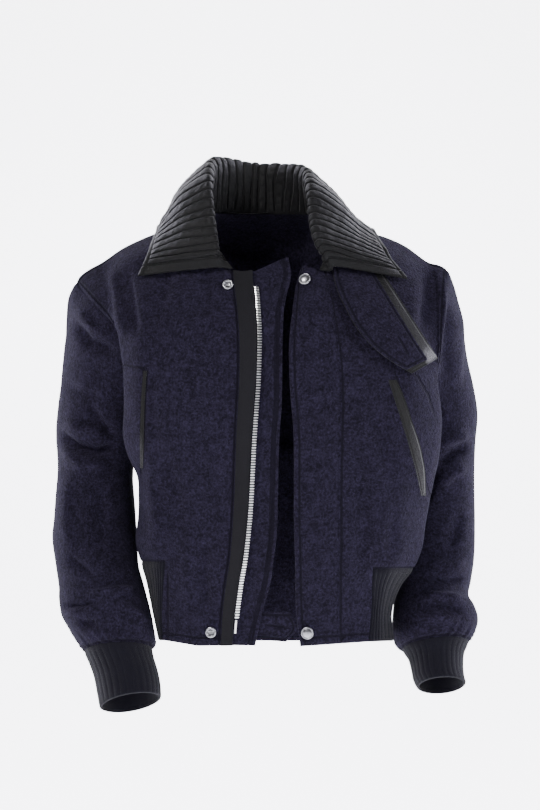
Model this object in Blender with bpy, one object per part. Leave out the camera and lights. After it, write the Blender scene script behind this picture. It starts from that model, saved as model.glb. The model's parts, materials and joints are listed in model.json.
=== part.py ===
"""Flight jacket in navy wool with a quilted collar, worn open: the solids of its cut pieces.

Lengths are millimetres until a mesh is made. X runs to the wearer's left, Y to the back, Z up.
The origin is the middle of the neck base, at the height of the shoulders.
Tables give places as the front view shows them, and to_true() takes each to its own depth.
"""
import math

import bpy
import numpy as np
from mathutils import Vector
from mathutils.bvhtree import BVHTree

MM = 0.001
VIEW_DISTANCE = 3300.0
VIEW_X = 11.6
VIEW_Z = -246.5

WOOL = 2.2
RIB_KNIT = 2.4
TAPE = 0.8
NYLON = 1.0
SEAM_INSET = 0.2
LAY_GAP = 0.4
MITRE = 1.6

ARMHOLE_ROWS = 10
SIDE_ROWS = 7
HEM_STEPS = (0.25, 0.6, 1.0)
ROWS = ARMHOLE_ROWS + SIDE_ROWS + len(HEM_STEPS)
RIB_ROW = ARMHOLE_ROWS + SIDE_ROWS
BACK_COLUMNS = 20
ARM_COLUMNS = 20
RETURN_COLUMNS = 3

FRONT_MIDDLE = 20.0
SHOULDER_Y = 6.0
FRONT_REACH = 190.0
BACK_REACH = 115.0
SECTION_POWER = 2.6

# The shoulder line, seen from the front.
SHOULDER = np.array([
    # x,    z
    (-271, -70), (-229, -36), (-194, -13), (-154, 4), (-85, 32), (0, 50),
    (92, 28), (157, 4), (188, -4), (220, -22), (246, -41), (270, -51),
], float)

FRONT_DEPTH = np.array([
    # z,   y of the chest at its fullest
    (-51, -108), (-100, -122), (-150, -130), (-200, -134), (-260, -136), (-330, -134),
    (-400, -131), (-474, -128), (-530, -122), (-590, -118),
], float)

BACK_DEPTH = np.array([
    # z,   y of the back at its fullest
    (-50, 118), (-150, 127), (-250, 128), (-350, 122), (-430, 120), (-480, 112), (-530, 104), (-590, 102),
], float)

# Half of the body at each height. edge is the front edge, rib the line down to the rib's front edge,
# ridge the outline of the chest, and side the side seam.
RIGHT_BODY = np.array([
    # z,  edge,  rib, ridge, ridge y, side, side y
    (-36, -13, -175, -232, -20, -174, 8),
    (-60, -13, -172, -220, -50, -174, 8),
    (-80, -11, -168, -213, -68, -174, 8),
    (-104, -9, -163, -209, -80, -174, 8),
    (-149, -7, -158, -206, -90, -174, 8),
    (-200, -8, -155, -200, -90, -174, 8),
    (-258, -12, -153, -201, -86, -174, 8),
    (-302, -15, -151, -202, -80, -168, 12),
    (-344, -17, -148, -181, -74, -166, 14),
    (-400, -20, -146, -179, -66, -167, 14),
    (-442, -24, -143, -183, -60, -172, 14),
    (-474, -28, -141, -175, -55, -168, 14),
    (-508, -34, -143, -165, -52, -158, 13),
    (-545, -39, -145, -158, -50, -150, 12),
    (-592, -43, -144, -148, -48, -140, 10),
], float)
RIGHT_RIDGE = 8
RIGHT_RIB = 6
RIGHT_TOP = (-13, -42, -64, -85, -118, -147, -175, -204, -232)
RIGHT_NECK_Z = (-51, -51, -22, 32)

LEFT_BODY = np.array([
    # z, edge, seam, rib, ridge, ridge y, side, side y
    (-36, 56, 87, 178, 240, -15, 205, 8),
    (-51, 51, 90, 178, 243, -35, 205, 8),
    (-75, 45, 96, 178, 247, -52, 205, 8),
    (-104, 42, 101, 177, 249, -62, 205, 8),
    (-161, 38, 109, 176, 251, -72, 205, 8),
    (-203, 39, 112, 175, 253, -74, 205, 8),
    (-245, 42, 113, 174, 259, -70, 205, 8),
    (-265, 44, 112, 173, 261, -66, 205, 8),
    (-312, 46, 111, 171, 258, -64, 195, 12),
    (-370, 46, 110, 168, 246, -62, 190, 14),
    (-413, 46, 110, 166, 238, -58, 190, 14),
    (-454, 47, 110, 163, 232, -54, 191, 14),
    (-484, 48, 109, 161, 220, -50, 186, 14),
    (-500, 48, 109, 160, 207, -47, 179, 13),
    (-529, 49, 109, 159, 190, -45, 171, 12),
    (-558, 50, 109, 158, 187, -45, 168, 10),
    (-592, 55, 109, 154, 191, -45, 168, 10),
], float)
LEFT_RIDGE = 10
LEFT_RIB = 8
FLAP_COLUMNS = 3
LEFT_TOP = (54, 61, 74, 90, 93, 94, 122, 150, 178, 209, 240)
LEFT_NECK_Z = (-53, -44, -48, -52, -18, 27)

# How far the storm flap's free edge curls back, by height.
FLAP_CURL = np.array([
    # z, curl
    (-40, 17), (-75, 13), (-110, 7), (-200, 3), (-450, 3), (-560, 6), (-600, 8),
], float)

# Free edge of the wind guard, which stands out from behind the right half of the zip.
GUARD_EDGE = np.array([
    # z,  x
    (-30, 38), (-50, 43), (-80, 37), (-109, 32), (-152, 30), (-240, 29), (-297, 25), (-384, 23), (-428, 22),
    (-471, 17), (-523, 9), (-558, -3), (-596, -10),
], float)
GUARD_TOP_RISE = 20.0
GUARD_DROP = 0.9

# The throat tab hangs from under the collar, over the left chest.
TAB_LEFT_EDGE = np.array([
    # share down, x, z
    (0.0, 99, -34), (0.13, 103, -56), (0.27, 109, -80), (0.41, 120, -104), (0.57, 136, -133),
    (0.73, 159, -161), (0.86, 184, -181), (1.0, 217, -201),
], float)
TAB_RIGHT_TOP = (166, -40)
TAB_RIGHT_FOOT = (255, -179)
TAB_WOOL_RIGHT_TOP = (158, -41)
TAB_WOOL_RIGHT_FOOT = (238, -187)
TAB_STAND = np.array([
    # share down, height of its underside over the chest
    (0.0, 1.2), (0.15, 3.0), (0.4, 8.0), (0.7, 11.0), (1.0, 10.0),
], float)

# Pocket strips, seen from the front: front and rear edge at each height.
POCKET_STRIPS = {
    "right": np.array([(-197, -167, -172), (-245, -170, -175.5), (-302, -171.5, -177), (-338, -172.5, -176.5)],
                      float),
    "left": np.array([(-210, 183, 195), (-232, 190, 205), (-268, 201.5, 217), (-312, 214.5, 231),
                      (-345, 223.5, 236.5), (-378, 230.5, 237.5)], float),
}
STRIP_LIFT = 1.0

ZIP_TOP_Z = -76.0
ZIP_FOOT_Z = -557.0
CHAIN_WIDTH = 4.8
CHAIN_DEPTH = 3.0
LEFT_CHAIN_BEHIND = 13.0
SLIDER_X = 104.0
SLIDER_Z = -547.0

SNAP_SIDES = 18
SNAP_GAP = 0.8
# Snaps: name, panel, x, z, radius, height.
SNAPS = (
    ("snap_cap_top", "left", 62.5, -65.0, 8.8, 2.6),
    ("snap_cap_hem", "left", 66.0, -577.0, 8.8, 2.6),
    ("snap_socket_top", "right", -49.5, -72.5, 7.8, 2.2),
    ("snap_socket_hem", "right", -74.0, -576.0, 7.8, 2.2),
)

# Armholes, from the shoulder tip down the front to the armpit, and down the back.
ARMHOLE_FRONT = {
    "right": [(-271, 0, -70), (-245, -42, -100), (-212, -62, -137), (-190, -58, -190), (-177, -30, -238),
              (-174, 8, -258)],
    "left": [(270, 0, -51), (267, -38, -85), (264, -58, -140), (255, -58, -200), (232, -34, -248),
             (205, 8, -265)],
}
ARMHOLE_BACK = {
    "right": [(-271, 0, -70), (-255, 32, -85), (-226, 62, -125), (-197, 72, -190), (-181, 45, -240),
              (-174, 8, -258)],
    "left": [(270, 0, -51), (260, 33, -70), (238, 64, -120), (216, 75, -190), (205, 48, -245),
             (205, 8, -265)],
}

# Sleeve rings below the armhole. out and in are the ring's outline seen from the front.
SLEEVE_RINGS = {
    "right": np.array([
        # out x, out z, in x, in z, middle y, half depth, pitch in degrees
        (-271, -70, -174, -258, 5, 68, 0),
        (-281, -92, -176, -270, 8, 64, 0),
        (-285, -125, -180, -284, 11, 62, 0),
        (-287, -165, -183, -300, 14, 60, 0),
        (-291, -210, -186, -320, 17, 59, 0),
        (-296, -252, -187, -338, 20, 58, 0),
        (-299, -290, -187, -356, 21, 57, 0),
        (-297, -322, -185, -376, 20, 56, 2),
        (-298, -365, -183, -402, 15, 56, 6),
        (-301, -410, -182, -430, 6, 55, 10),
        (-304, -438, -181, -454, -4, 54, 13),
        (-299, -474, -179, -480, -16, 53, 15),
        (-294, -508, -173, -502, -27, 51, 16),
        (-294, -528, -168, -520, -34, 50, 16),
        (-291, -550, -161, -542, -41, 51, 16),
        (-283, -566, -155, -568, -47, 50, 16),
        (-272, -585, -154, -590, -52, 48, 16),
        (-258, -604, -159, -600, -56, 44, 16),
    ], float),
    "left": np.array([
        (270, -51, 205, -265, 6, 68, 0),
        (279, -75, 205, -279, 11, 66, 0),
        (286, -105, 203, -292, 17, 63, 0),
        (291, -140, 200, -306, 24, 61, 0),
        (298, -180, 198, -322, 30, 59, 0),
        (308, -222, 196, -340, 36, 58, 0),
        (313, -258, 194, -358, 40, 57, 0),
        (310, -296, 193, -382, 43, 56, 2),
        (309, -335, 192, -406, 44, 56, 6),
        (309, -378, 192, -430, 42, 56, 10),
        (309, -420, 193, -455, 36, 55, 13),
        (307, -464, 194, -480, 27, 54, 15),
        (303, -500, 193, -505, 17, 53, 17),
        (300, -522, 192, -528, 9, 53, 17),
        (309, -538, 190, -548, 2, 54, 17),
        (314, -556, 189, -570, -4, 53, 17),
        (309, -575, 192, -590, -10, 50, 17),
        (300, -590, 203, -602, -15, 44, 17),
    ], float),
}
ARMHOLE_BLEND = 7
# Least gap between the body and the sleeve's rings under the arm, by ring.
ARM_CLEAR = (0, 3.5, 5.0, 5.5)
INNER_SIDE = slice(6, 15)

# Cuffs, from the seam down.
CUFF_RINGS = {
    "right": np.array([
        (-258, -604, -159, -600, -56, 44, 16),
        (-251, -618, -158, -612, -60, 42, 16),
        (-243, -640, -152, -632, -66, 41, 17),
        (-238, -664, -148, -652, -72, 41, 18),
        (-234, -685, -147, -671, -77, 42, 18),
    ], float),
    "left": np.array([
        (300, -590, 203, -602, -15, 44, 17),
        (293, -604, 212, -613, -20, 41, 17),
        (291, -622, 217, -630, -26, 40, 17),
        (292, -638, 220, -645, -32, 40, 18),
        (295, -650, 226, -656, -37, 40, 18),
    ], float),
}
CUFF_RIBS = 28
CUFF_RIDGE = 1.1
SIDE_RIBS = 4
SIDE_RIDGE = 1.1

# The collar from its right front end round the back to its left front end. at is the share of the neckline.
COLLAR_STATIONS = np.array([
    # at, roll x, y, z, edge x, y, z, roll radius, belly
    (0.00, -62, -98, -53, -177, -72, -62, 6, 2),
    (0.09, -63, -96, -20, -166, -62, -36, 8, 5),
    (0.18, -69, -66, 28, -158, -34, -10, 9, 8),
    (0.28, -75, -25, 84, -150, 8, 5, 10, 11),
    (0.36, -72, 28, 114, -138, 82, 4, 10, 13),
    (0.49, -8, 84, 112, -10, 134, -8, 10, 8),
    (0.62, 60, 30, 102, 136, 88, 0, 10, 8),
    (0.71, 66, -22, 74, 160, 12, -3, 10, 6),
    (0.81, 68, -62, 26, 176, -38, -27, 9, 5),
    (0.91, 76, -98, -18, 193, -62, -48, 8, 3),
    (1.00, 100, -100, -55, 207, -76, -66, 6, 2),
], float)
COLLAR_CHANNELS = 42
COLLAR_PUFF = 1.8
COLLAR_CLEAR = 3.5
# Thickness of the collar from its neck seam over the roll to its outer edge.
COLLAR_WALL = np.array([2.4, 2.4, 2.4, 2.6, 3.0, 4.0, 4.0, 3.6])
COLLAR_END_BAND = 2
COLLAR_PROFILE_ROWS = 8

MATERIALS = {
    # name: colour, roughness, metallic
    "wool": ((0.022, 0.019, 0.045, 1.0), 0.95, 0.0),
    "rib_knit": ((0.013, 0.013, 0.022, 1.0), 0.9, 0.0),
    "nylon": ((0.022, 0.022, 0.024, 1.0), 0.5, 0.0),
    "zip_tape": ((0.016, 0.016, 0.018, 1.0), 0.85, 0.0),
    "metal": ((0.72, 0.72, 0.72, 1.0), 0.3, 1.0),
}


def through(keys, values, at):
    """Value at each place of a smooth curve through (key, value) rows, which never overshoots a row."""
    keys = np.asarray(keys, float)
    values = np.asarray(values, float)
    order = np.argsort(keys)
    keys, values = keys[order], values[order]
    if values.ndim == 2:
        return np.stack([through(keys, values[:, k], at) for k in range(values.shape[1])], -1)
    steps = np.diff(keys)
    rise_rate = np.diff(values) / steps
    slope = np.empty_like(values)
    slope[0], slope[-1] = rise_rate[0], rise_rate[-1]
    product = rise_rate[:-1] * rise_rate[1:]
    total = rise_rate[:-1] + rise_rate[1:]
    slope[1:-1] = np.where(product > 0, 2 * product / np.where(total == 0, 1, total), 0)
    at = np.clip(np.asarray(at, float), keys[0], keys[-1])
    cell = np.clip(np.searchsorted(keys, at, side="right") - 1, 0, len(steps) - 1)
    width = steps[cell]
    t = (at - keys[cell]) / width
    a, b = values[cell], values[cell + 1]
    return (a * (1 + 2 * t) * (1 - t) ** 2 + b * t * t * (3 - 2 * t)
            + width * (slope[cell] * t * (1 - t) ** 2 - slope[cell + 1] * t * t * (1 - t)))


def along(points, count):
    """count places at even steps along a smooth curve through the points."""
    points = np.asarray(points, float)
    chord = np.concatenate([[0], np.cumsum(np.linalg.norm(np.diff(points, axis=0), axis=1))])
    dense = bend(chord, points, np.linspace(0, chord[-1], 400))
    run = np.concatenate([[0], np.cumsum(np.linalg.norm(np.diff(dense, axis=0), axis=1))])
    even = np.linspace(0, run[-1], count)
    return np.stack([np.interp(even, run, dense[:, k]) for k in range(3)], -1)


def bend(keys, values, at):
    """Cubic curve through rows whose slope at each row is that of the line between its neighbours."""
    keys = np.asarray(keys, float)
    values = np.asarray(values, float)
    slope = np.gradient(values, keys, axis=0)
    at = np.clip(np.asarray(at, float), keys[0], keys[-1])
    cell = np.clip(np.searchsorted(keys, at, side="right") - 1, 0, len(keys) - 2)
    width = (keys[cell + 1] - keys[cell])
    t = (at - keys[cell]) / width
    if values.ndim == 2:
        t, width = t[:, None], width[:, None]
    a, b = values[cell], values[cell + 1]
    return (a * (1 + 2 * t) * (1 - t) ** 2 + b * t * t * (3 - 2 * t)
            + width * (slope[cell] * t * (1 - t) ** 2 - slope[cell + 1] * t * t * (1 - t)))


def shoulder_z(x):
    """Height of the shoulder line over x."""
    return through(SHOULDER[:, 0], SHOULDER[:, 1], x)


def rise(drop, reach):
    """Share of the full depth at a drop below the shoulder line: a quarter circle."""
    t = np.clip(np.asarray(drop, float) / reach, 0, 1)
    return np.sqrt(np.clip(1 - (1 - t) ** 2, 0, 1))


def section(x, z, side_x, side_y, deep_y):
    """Depth of a quarter of a rounded section, from its middle out to (side_x, side_y)."""
    t = np.clip((x - FRONT_MIDDLE) / (side_x - FRONT_MIDDLE), 0, 1)
    return side_y + (deep_y - side_y) * (1 - t ** SECTION_POWER) ** (1 / SECTION_POWER)


def front_y(side, x, z):
    """Depth of the chest at a place seen from the front, up to its ridge."""
    table, ridge = (RIGHT_BODY, 3) if side == "right" else (LEFT_BODY, 4)
    ridge_x = through(table[:, 0], table[:, ridge], z)
    ridge_y = through(table[:, 0], table[:, ridge + 1], z)
    deep = through(FRONT_DEPTH[:, 0], FRONT_DEPTH[:, 1], z)
    full = section(x, z, ridge_x, ridge_y, deep)
    return SHOULDER_Y + (full - SHOULDER_Y) * rise(shoulder_z(x) - z, FRONT_REACH)


def armpit_z(side):
    return ARMHOLE_FRONT[side][-1][2]


def rib_z(side):
    return -474.0 if side == "right" else -484.0


def hem_z(x):
    """Height of the hem over x."""
    return np.interp(x, [-170, -145, -95, -14, 40, 56, 84, 154, 200],
                     [-588, -588, -596, -595, -597, -597, -595, -590, -588])


def side_line(side, half):
    """The panel's outer boundary: half of the armhole, then the side seam down to the hem."""
    hole = ARMHOLE_FRONT[side] if half == "front" else ARMHOLE_BACK[side]
    top = along(hole, ARMHOLE_ROWS + 1)
    table = RIGHT_BODY if side == "right" else LEFT_BODY
    heights = list(np.linspace(armpit_z(side), rib_z(side), SIDE_ROWS + 1)[1:])
    heights += [rib_z(side) + (-588 - rib_z(side)) * step for step in HEM_STEPS]
    heights = np.array(heights)
    low = np.stack([through(table[:, 0], table[:, -2], heights),
                    through(table[:, 0], table[:, -1], heights), heights], -1)
    return np.concatenate([top, low])


def front_grid(side):
    """Points of a front from its edge to the armhole and side seam, rows from the top down."""
    if side == "right":
        table, top_x, neck_z, ridge_column = RIGHT_BODY, RIGHT_TOP, RIGHT_NECK_Z, RIGHT_RIDGE
        guides = ((0, 1), (RIGHT_RIB, 2), (RIGHT_RIDGE, 3))
    else:
        table, top_x, neck_z, ridge_column = LEFT_BODY, LEFT_TOP, LEFT_NECK_Z, LEFT_RIDGE
        guides = ((0, 1), (FLAP_COLUMNS, 2), (LEFT_RIB, 3), (LEFT_RIDGE, 4))
    outer = side_line(side, "front")
    share = (outer[:, 2] - outer[0, 2]) / (armpit_z(side) - outer[0, 2])
    share = share * 0.4 + np.minimum(np.arange(ROWS + 1) / ARMHOLE_ROWS, 1) * 0.6
    columns = ridge_column + RETURN_COLUMNS + 1
    grid = np.zeros((ROWS + 1, columns, 3))

    def guide_x(column, z):
        places = [through(table[:, 0], table[:, k], z) for _, k in guides]
        marks = [mark for mark, _ in guides]
        for (m0, p0), (m1, p1) in zip(zip(marks, places), list(zip(marks, places))[1:]):
            if m0 <= column <= m1:
                return p0 + (p1 - p0) * (column - m0) / (m1 - m0)

    for column in range(ridge_column + 1):
        x_top = top_x[column]
        z_top = neck_z[column] if column < len(neck_z) else float(shoulder_z(x_top))
        z = np.where(np.arange(ROWS + 1) <= ARMHOLE_ROWS, z_top + (armpit_z(side) - z_top) * share, outer[:, 2])
        foot = hem_z(guide_x(column, -590.0))
        low = np.arange(ROWS + 1) > RIB_ROW
        z = np.where(low, rib_z(side) + (foot - rib_z(side)) * (outer[:, 2] - rib_z(side)) / (-588 - rib_z(side)), z)
        fade = np.clip(1 - share, 0, 1) ** 2
        x = guide_x(column, z) + (x_top - guide_x(column, z_top)) * fade
        y = front_y(side, x, z)
        if side == "left" and column < FLAP_COLUMNS - 1:
            share_out = (1 - column / (FLAP_COLUMNS - 1)) ** 1.5
            y = y + through(FLAP_CURL[:, 0], FLAP_CURL[:, 1], z) * share_out
        grid[:, column] = np.stack([x, y, z], -1)

    ridge = grid[:, ridge_column]
    for step in range(1, RETURN_COLUMNS + 1):
        s = step / RETURN_COLUMNS
        column = ridge + (outer - ridge) * s
        column[:, 0] = ridge[:, 0] + (outer[:, 0] - ridge[:, 0]) * (1 - (1 - s) ** 1.7)
        grid[:, ridge_column + step] = column
    return grid


def back_grid(right, left):
    """Points of the back from the right side seam to the left, on the fronts' shoulder points."""
    sides = side_line("right", "back"), side_line("left", "back")
    grid = np.zeros((ROWS + 1, BACK_COLUMNS + 1, 3))
    neck_right, neck_left = right[0, 3], left[0, 5]
    neck = along([neck_right, (-52, 54, 32), (0, 70, 31), (56, 54, 31), neck_left], 5)
    top = np.concatenate([right[0, 3:][::-1], neck[1:-1], left[0, 5:]])
    for column in range(BACK_COLUMNS + 1):
        offset = (column - BACK_COLUMNS / 2) / (BACK_COLUMNS / 2)
        side = sides[0] if offset < 0 else sides[1]
        mix = column / BACK_COLUMNS
        pit = armpit_z("right") * (1 - mix) + armpit_z("left") * mix
        cuff_z = rib_z("right") * (1 - mix) + rib_z("left") * mix
        share = (side[:, 2] - side[0, 2]) / (side[ARMHOLE_ROWS, 2] - side[0, 2])
        z = top[column, 2] + (pit - top[column, 2]) * share
        rows = np.arange(ROWS + 1)
        z = np.where(rows > ARMHOLE_ROWS, pit + (cuff_z - pit) * (rows - ARMHOLE_ROWS) / SIDE_ROWS, z)
        low = rows > RIB_ROW
        steps = np.zeros(ROWS + 1)
        steps[RIB_ROW + 1:] = HEM_STEPS
        z = np.where(low, cuff_z + (-588 - cuff_z) * steps, z)
        spread = math.sin(abs(offset) * math.pi / 2)
        even = FRONT_MIDDLE + (side[:, 0] - FRONT_MIDDLE) * spread
        fade = np.clip(1 - share, 0, 1) ** 2
        x = even + (top[column, 0] - even[0]) * fade
        deep = through(BACK_DEPTH[:, 0], BACK_DEPTH[:, 1], z)
        full = section(x, z, side[:, 0], side[:, 1], deep)
        y = SHOULDER_Y + (full - SHOULDER_Y) * rise(shoulder_z(x) - z, BACK_REACH)
        y = y + (top[column, 1] - y[0]) * np.clip(1 - share, 0, 1) ** 3
        grid[:, column] = np.stack([x, y, z], -1)
    for edge, side in ((0, sides[0]), (BACK_COLUMNS, sides[1])):
        miss = side - grid[:, edge]
        for column in range(BACK_COLUMNS + 1):
            near = 1 - abs(column - edge) / (BACK_COLUMNS / 2)
            if near > 0:
                grid[:, column] += miss * near ** 4
    grid[0] = top
    return grid


def ring(out_x, out_z, in_x, in_z, middle_y, depth, pitch, angles):
    """A tilted oval ring from its outer side, by the front, to its inner side and back."""
    middle = np.array([(out_x + in_x) / 2, middle_y, (out_z + in_z) / 2])
    across = np.array([(out_x - in_x) / 2, 0, (out_z - in_z) / 2])
    lean = math.radians(pitch)
    back = np.array([0, depth * math.cos(lean), -depth * math.sin(lean)])
    return middle + np.cos(angles)[:, None] * across - np.sin(angles)[:, None] * back


def sleeve_grid(side):
    """Rings of a sleeve, the first one on the armhole."""
    front = side_line(side, "front")[:ARMHOLE_ROWS + 1]
    back = side_line(side, "back")[:ARMHOLE_ROWS + 1]
    loop = np.concatenate([front, back[1:-1][::-1]])
    angles = np.arange(ARM_COLUMNS) * 2 * math.pi / ARM_COLUMNS
    rings = [ring(*row, angles) for row in SLEEVE_RINGS[side]]
    odd = loop - rings[0]
    for k in range(ARMHOLE_BLEND):
        rings[k] = rings[k] + odd * (1 - k / ARMHOLE_BLEND) ** 2
    return np.array(rings)


def cuff_grid(side):
    """Rings of a cuff, two points to each rib."""
    columns = CUFF_RIBS * 2
    angles = np.arange(columns) * 2 * math.pi / columns
    return np.array([ring(*row, angles) for row in CUFF_RINGS[side]])


def to_true(points):
    """Takes places as seen from the front to their real places at their own depth."""
    points = np.array(points, float)
    scale = 1 + points[..., 1] / VIEW_DISTANCE
    points[..., 0] = VIEW_X + (points[..., 0] - VIEW_X) * scale
    points[..., 2] = VIEW_Z + (points[..., 2] - VIEW_Z) * scale
    return points


def quad_cells(grid, closed=False, keep=None):
    """Index of each four-sided cell of a grid, as (row, column, next column)."""
    rows, columns = grid.shape[:2]
    last = columns if closed else columns - 1
    return [(r, c, (c + 1) % columns) for r in range(rows - 1) for c in range(last)
            if keep is None or keep(r, c)]


def corner_normals(grid, cell, sign):
    """Each corner of a cell with its own normal, as long as the corner's angle."""
    r, c, d = cell
    corners = ((r, c), (r, d), (r + 1, d), (r + 1, c))
    found = []
    for k in range(4):
        here = grid[corners[k]]
        ahead, behind = grid[corners[(k + 1) % 4]] - here, grid[corners[k - 1]] - here
        normal = np.cross(ahead, behind)
        size = np.linalg.norm(normal)
        angle = math.atan2(size, float(np.dot(ahead, behind)))
        found.append((corners[k], sign * normal / max(size, 1e-9) * angle, angle))
    return found


def welded_normals(panels):
    """Normals of the walls and of the seams at the points of panels.

    A panel's last value is its group. Where two groups meet, the seam's normal halves the angle
    between them. The walls take it too where the crease stands out, longer than 1 so that they keep
    their thickness. In a hollow crease each wall keeps the normal of its own group.
    """
    groups = {}
    for grid, cells, sign, group in panels:
        for cell in cells:
            r, c, d = cell
            middle = (grid[r, c] + grid[r, d] + grid[r + 1, c] + grid[r + 1, d]) / 4
            for corner, normal, _ in corner_normals(grid, cell, sign):
                own = groups.setdefault(tuple(np.round(grid[corner], 2)), {})
                sums = own.setdefault(group, [np.zeros(3), np.zeros(3)])
                sums[0] += normal
                sums[1] += unit(middle - grid[corner])
    seams, walls = {}, {}
    for key, own in groups.items():
        normals = {group: unit(sums[0]) for group, sums in own.items()}
        mean = unit(sum(normals.values()))
        spread = min(float(np.dot(mean, normal)) for normal in normals.values())
        seams[key] = mean / max(spread, 1 / MITRE)
        hollow = any(np.dot(normals[a], own[b][1]) > 0 for a in own for b in own if a != b)
        walls[key] = normals if hollow else {group: seams[key] for group in own}
    keys = [[[tuple(np.round(point, 2)) for point in row] for row in panel[0]] for panel in panels]
    wall_normals = [np.array([[walls[key][panel[3]] for key in row] for row in rows])
                    for panel, rows in zip(panels, keys)]
    seam_normals = [np.array([[seams[key] for key in row] for row in rows]) for rows in keys]
    return wall_normals, seam_normals


def inset(grid, cells, normals, sign, distance=SEAM_INSET):
    """Moves the boundary points of the kept cells in, square to the seam and to the normal there."""
    pulls = {}
    for start, end in boundary(cells):
        normal = unit(normals[start]) + unit(normals[end])
        square = sign * unit(np.cross(normal, grid[end] - grid[start]))
        for place in (start, end):
            pulls.setdefault(place, []).append(square)
    moved = grid.copy()
    for place, squares in pulls.items():
        meet = 1 + float(np.dot(squares[0], squares[-1]))
        moved[place] = grid[place] + (squares[0] + squares[-1]) / max(meet, 0.5) * distance
    return moved


def boundary(cells):
    """Directed edges that only one cell has."""
    seen = {}
    for r, c, d in cells:
        loop = ((r, c), (r, d), (r + 1, d), (r + 1, c))
        for k in range(4):
            seen[(loop[k], loop[(k + 1) % 4])] = True
    return [edge for edge in seen if (edge[1], edge[0]) not in seen]


def material(name):
    made = bpy.data.materials.get(name)
    if made:
        return made
    colour, roughness, metallic = MATERIALS[name]
    made = bpy.data.materials.new(name)
    made.use_nodes = True
    shader = made.node_tree.nodes["Principled BSDF"]
    shader.inputs["Base Color"].default_value = colour
    shader.inputs["Roughness"].default_value = roughness
    shader.inputs["Metallic"].default_value = metallic
    made.diffuse_color = colour
    return made


def add_mesh(name, points, faces, kind, origin=(0, 0, 0)):
    """Makes a mesh object from millimetre points, its own origin at a millimetre place."""
    mesh = bpy.data.meshes.new(name)
    origin = np.array(origin, float)
    mesh.from_pydata([tuple((np.array(p) - origin) * MM) for p in points], [], faces)
    mesh.validate()
    mesh.update()
    made = bpy.data.objects.new(name, mesh)
    made.location = Vector(origin * MM)
    made.data.materials.append(material(kind))
    bpy.context.scene.collection.objects.link(made)
    return made


def wall(name, outer, inner, cells, sign, kind):
    """A closed wall between an outer and an inner grid over the kept cells."""
    index, points = {}, []

    def vertex(layer, place):
        if (layer, place) not in index:
            index[(layer, place)] = len(points)
            points.append((outer if layer == 0 else inner)[place])
        return index[(layer, place)]

    faces = []
    for r, c, d in cells:
        loop = [(r, c), (r, d), (r + 1, d), (r + 1, c)]
        if sign < 0:
            loop.reverse()
        a, b, e, f = loop
        for corners in ((a, b, e), (a, e, f)):
            faces.append([vertex(0, p) for p in corners])
            faces.append([vertex(1, p) for p in reversed(corners)])
    for start, end in boundary(cells):
        if sign < 0:
            start, end = end, start
        quad = (vertex(0, end), vertex(0, start), vertex(1, start), vertex(1, end))
        faces.append([quad[0], quad[1], quad[2]])
        faces.append([quad[0], quad[2], quad[3]])
    return add_mesh(name, points, faces, kind)


def cloth(name, grid, normals, thickness, cells, sign, kind, relief=None, lift=0.0, seams=None):
    """A cloth wall on a grid: relief raises its outer face, lift moves the whole wall out."""
    base = grid if seams is None else inset(grid, cells, seams, sign)
    raised = base + normals * (lift if relief is None else (lift + relief)[..., None])
    under = base + normals * (lift - thickness)
    return wall(name, raised, under, cells, sign, kind)


def refine(grid, factor, closed=False):
    """Adds columns between those of a grid, on the straight lines between them."""
    columns = grid.shape[1]
    count = columns * factor if closed else (columns - 1) * factor + 1
    at = np.arange(count) / factor
    low = np.floor(at).astype(int) % columns
    high = (low + 1) % columns if closed else np.minimum(low + 1, columns - 1)
    t = (at - np.floor(at))[None, :, None]
    return grid[:, low] * (1 - t) + grid[:, high] * t


def unit(vectors):
    return vectors / np.linalg.norm(vectors, axis=-1, keepdims=True)


def clear_of(points, tree, distance):
    """Lifts points until they stand a distance off a surface, along that surface's own normal."""
    moved = np.array(points)
    flat = moved.reshape(-1, 3)
    for k in range(len(flat)):
        place, normal, _, gap = tree.find_nearest(Vector(flat[k]))
        if place is None:
            continue
        height = (Vector(flat[k]) - place).dot(normal)
        if height < distance and gap < 60 and abs(height) > 0.7 * gap:
            flat[k] += np.array(normal) * (distance - height)
    return moved


def surface_tree(parts):
    """Search tree over the outer faces of panels."""
    points, faces = [], []
    for grid, cells, sign in parts:
        start = len(points)
        rows, columns = grid.shape[:2]
        points += [Vector(p) for p in grid.reshape(-1, 3)]
        for r, c, d in cells:
            quad = [start + r * columns + c, start + r * columns + d,
                    start + (r + 1) * columns + d, start + (r + 1) * columns + c]
            if sign < 0:
                quad.reverse()
            faces.append(quad)
    return BVHTree.FromPolygons(points, faces)


def grid_normals(grid, sign):
    """Unit normals of a grid from its own neighbours."""
    across = np.gradient(grid, axis=1)
    down = np.gradient(grid, axis=0)
    return unit(sign * np.cross(across, down))


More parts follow.
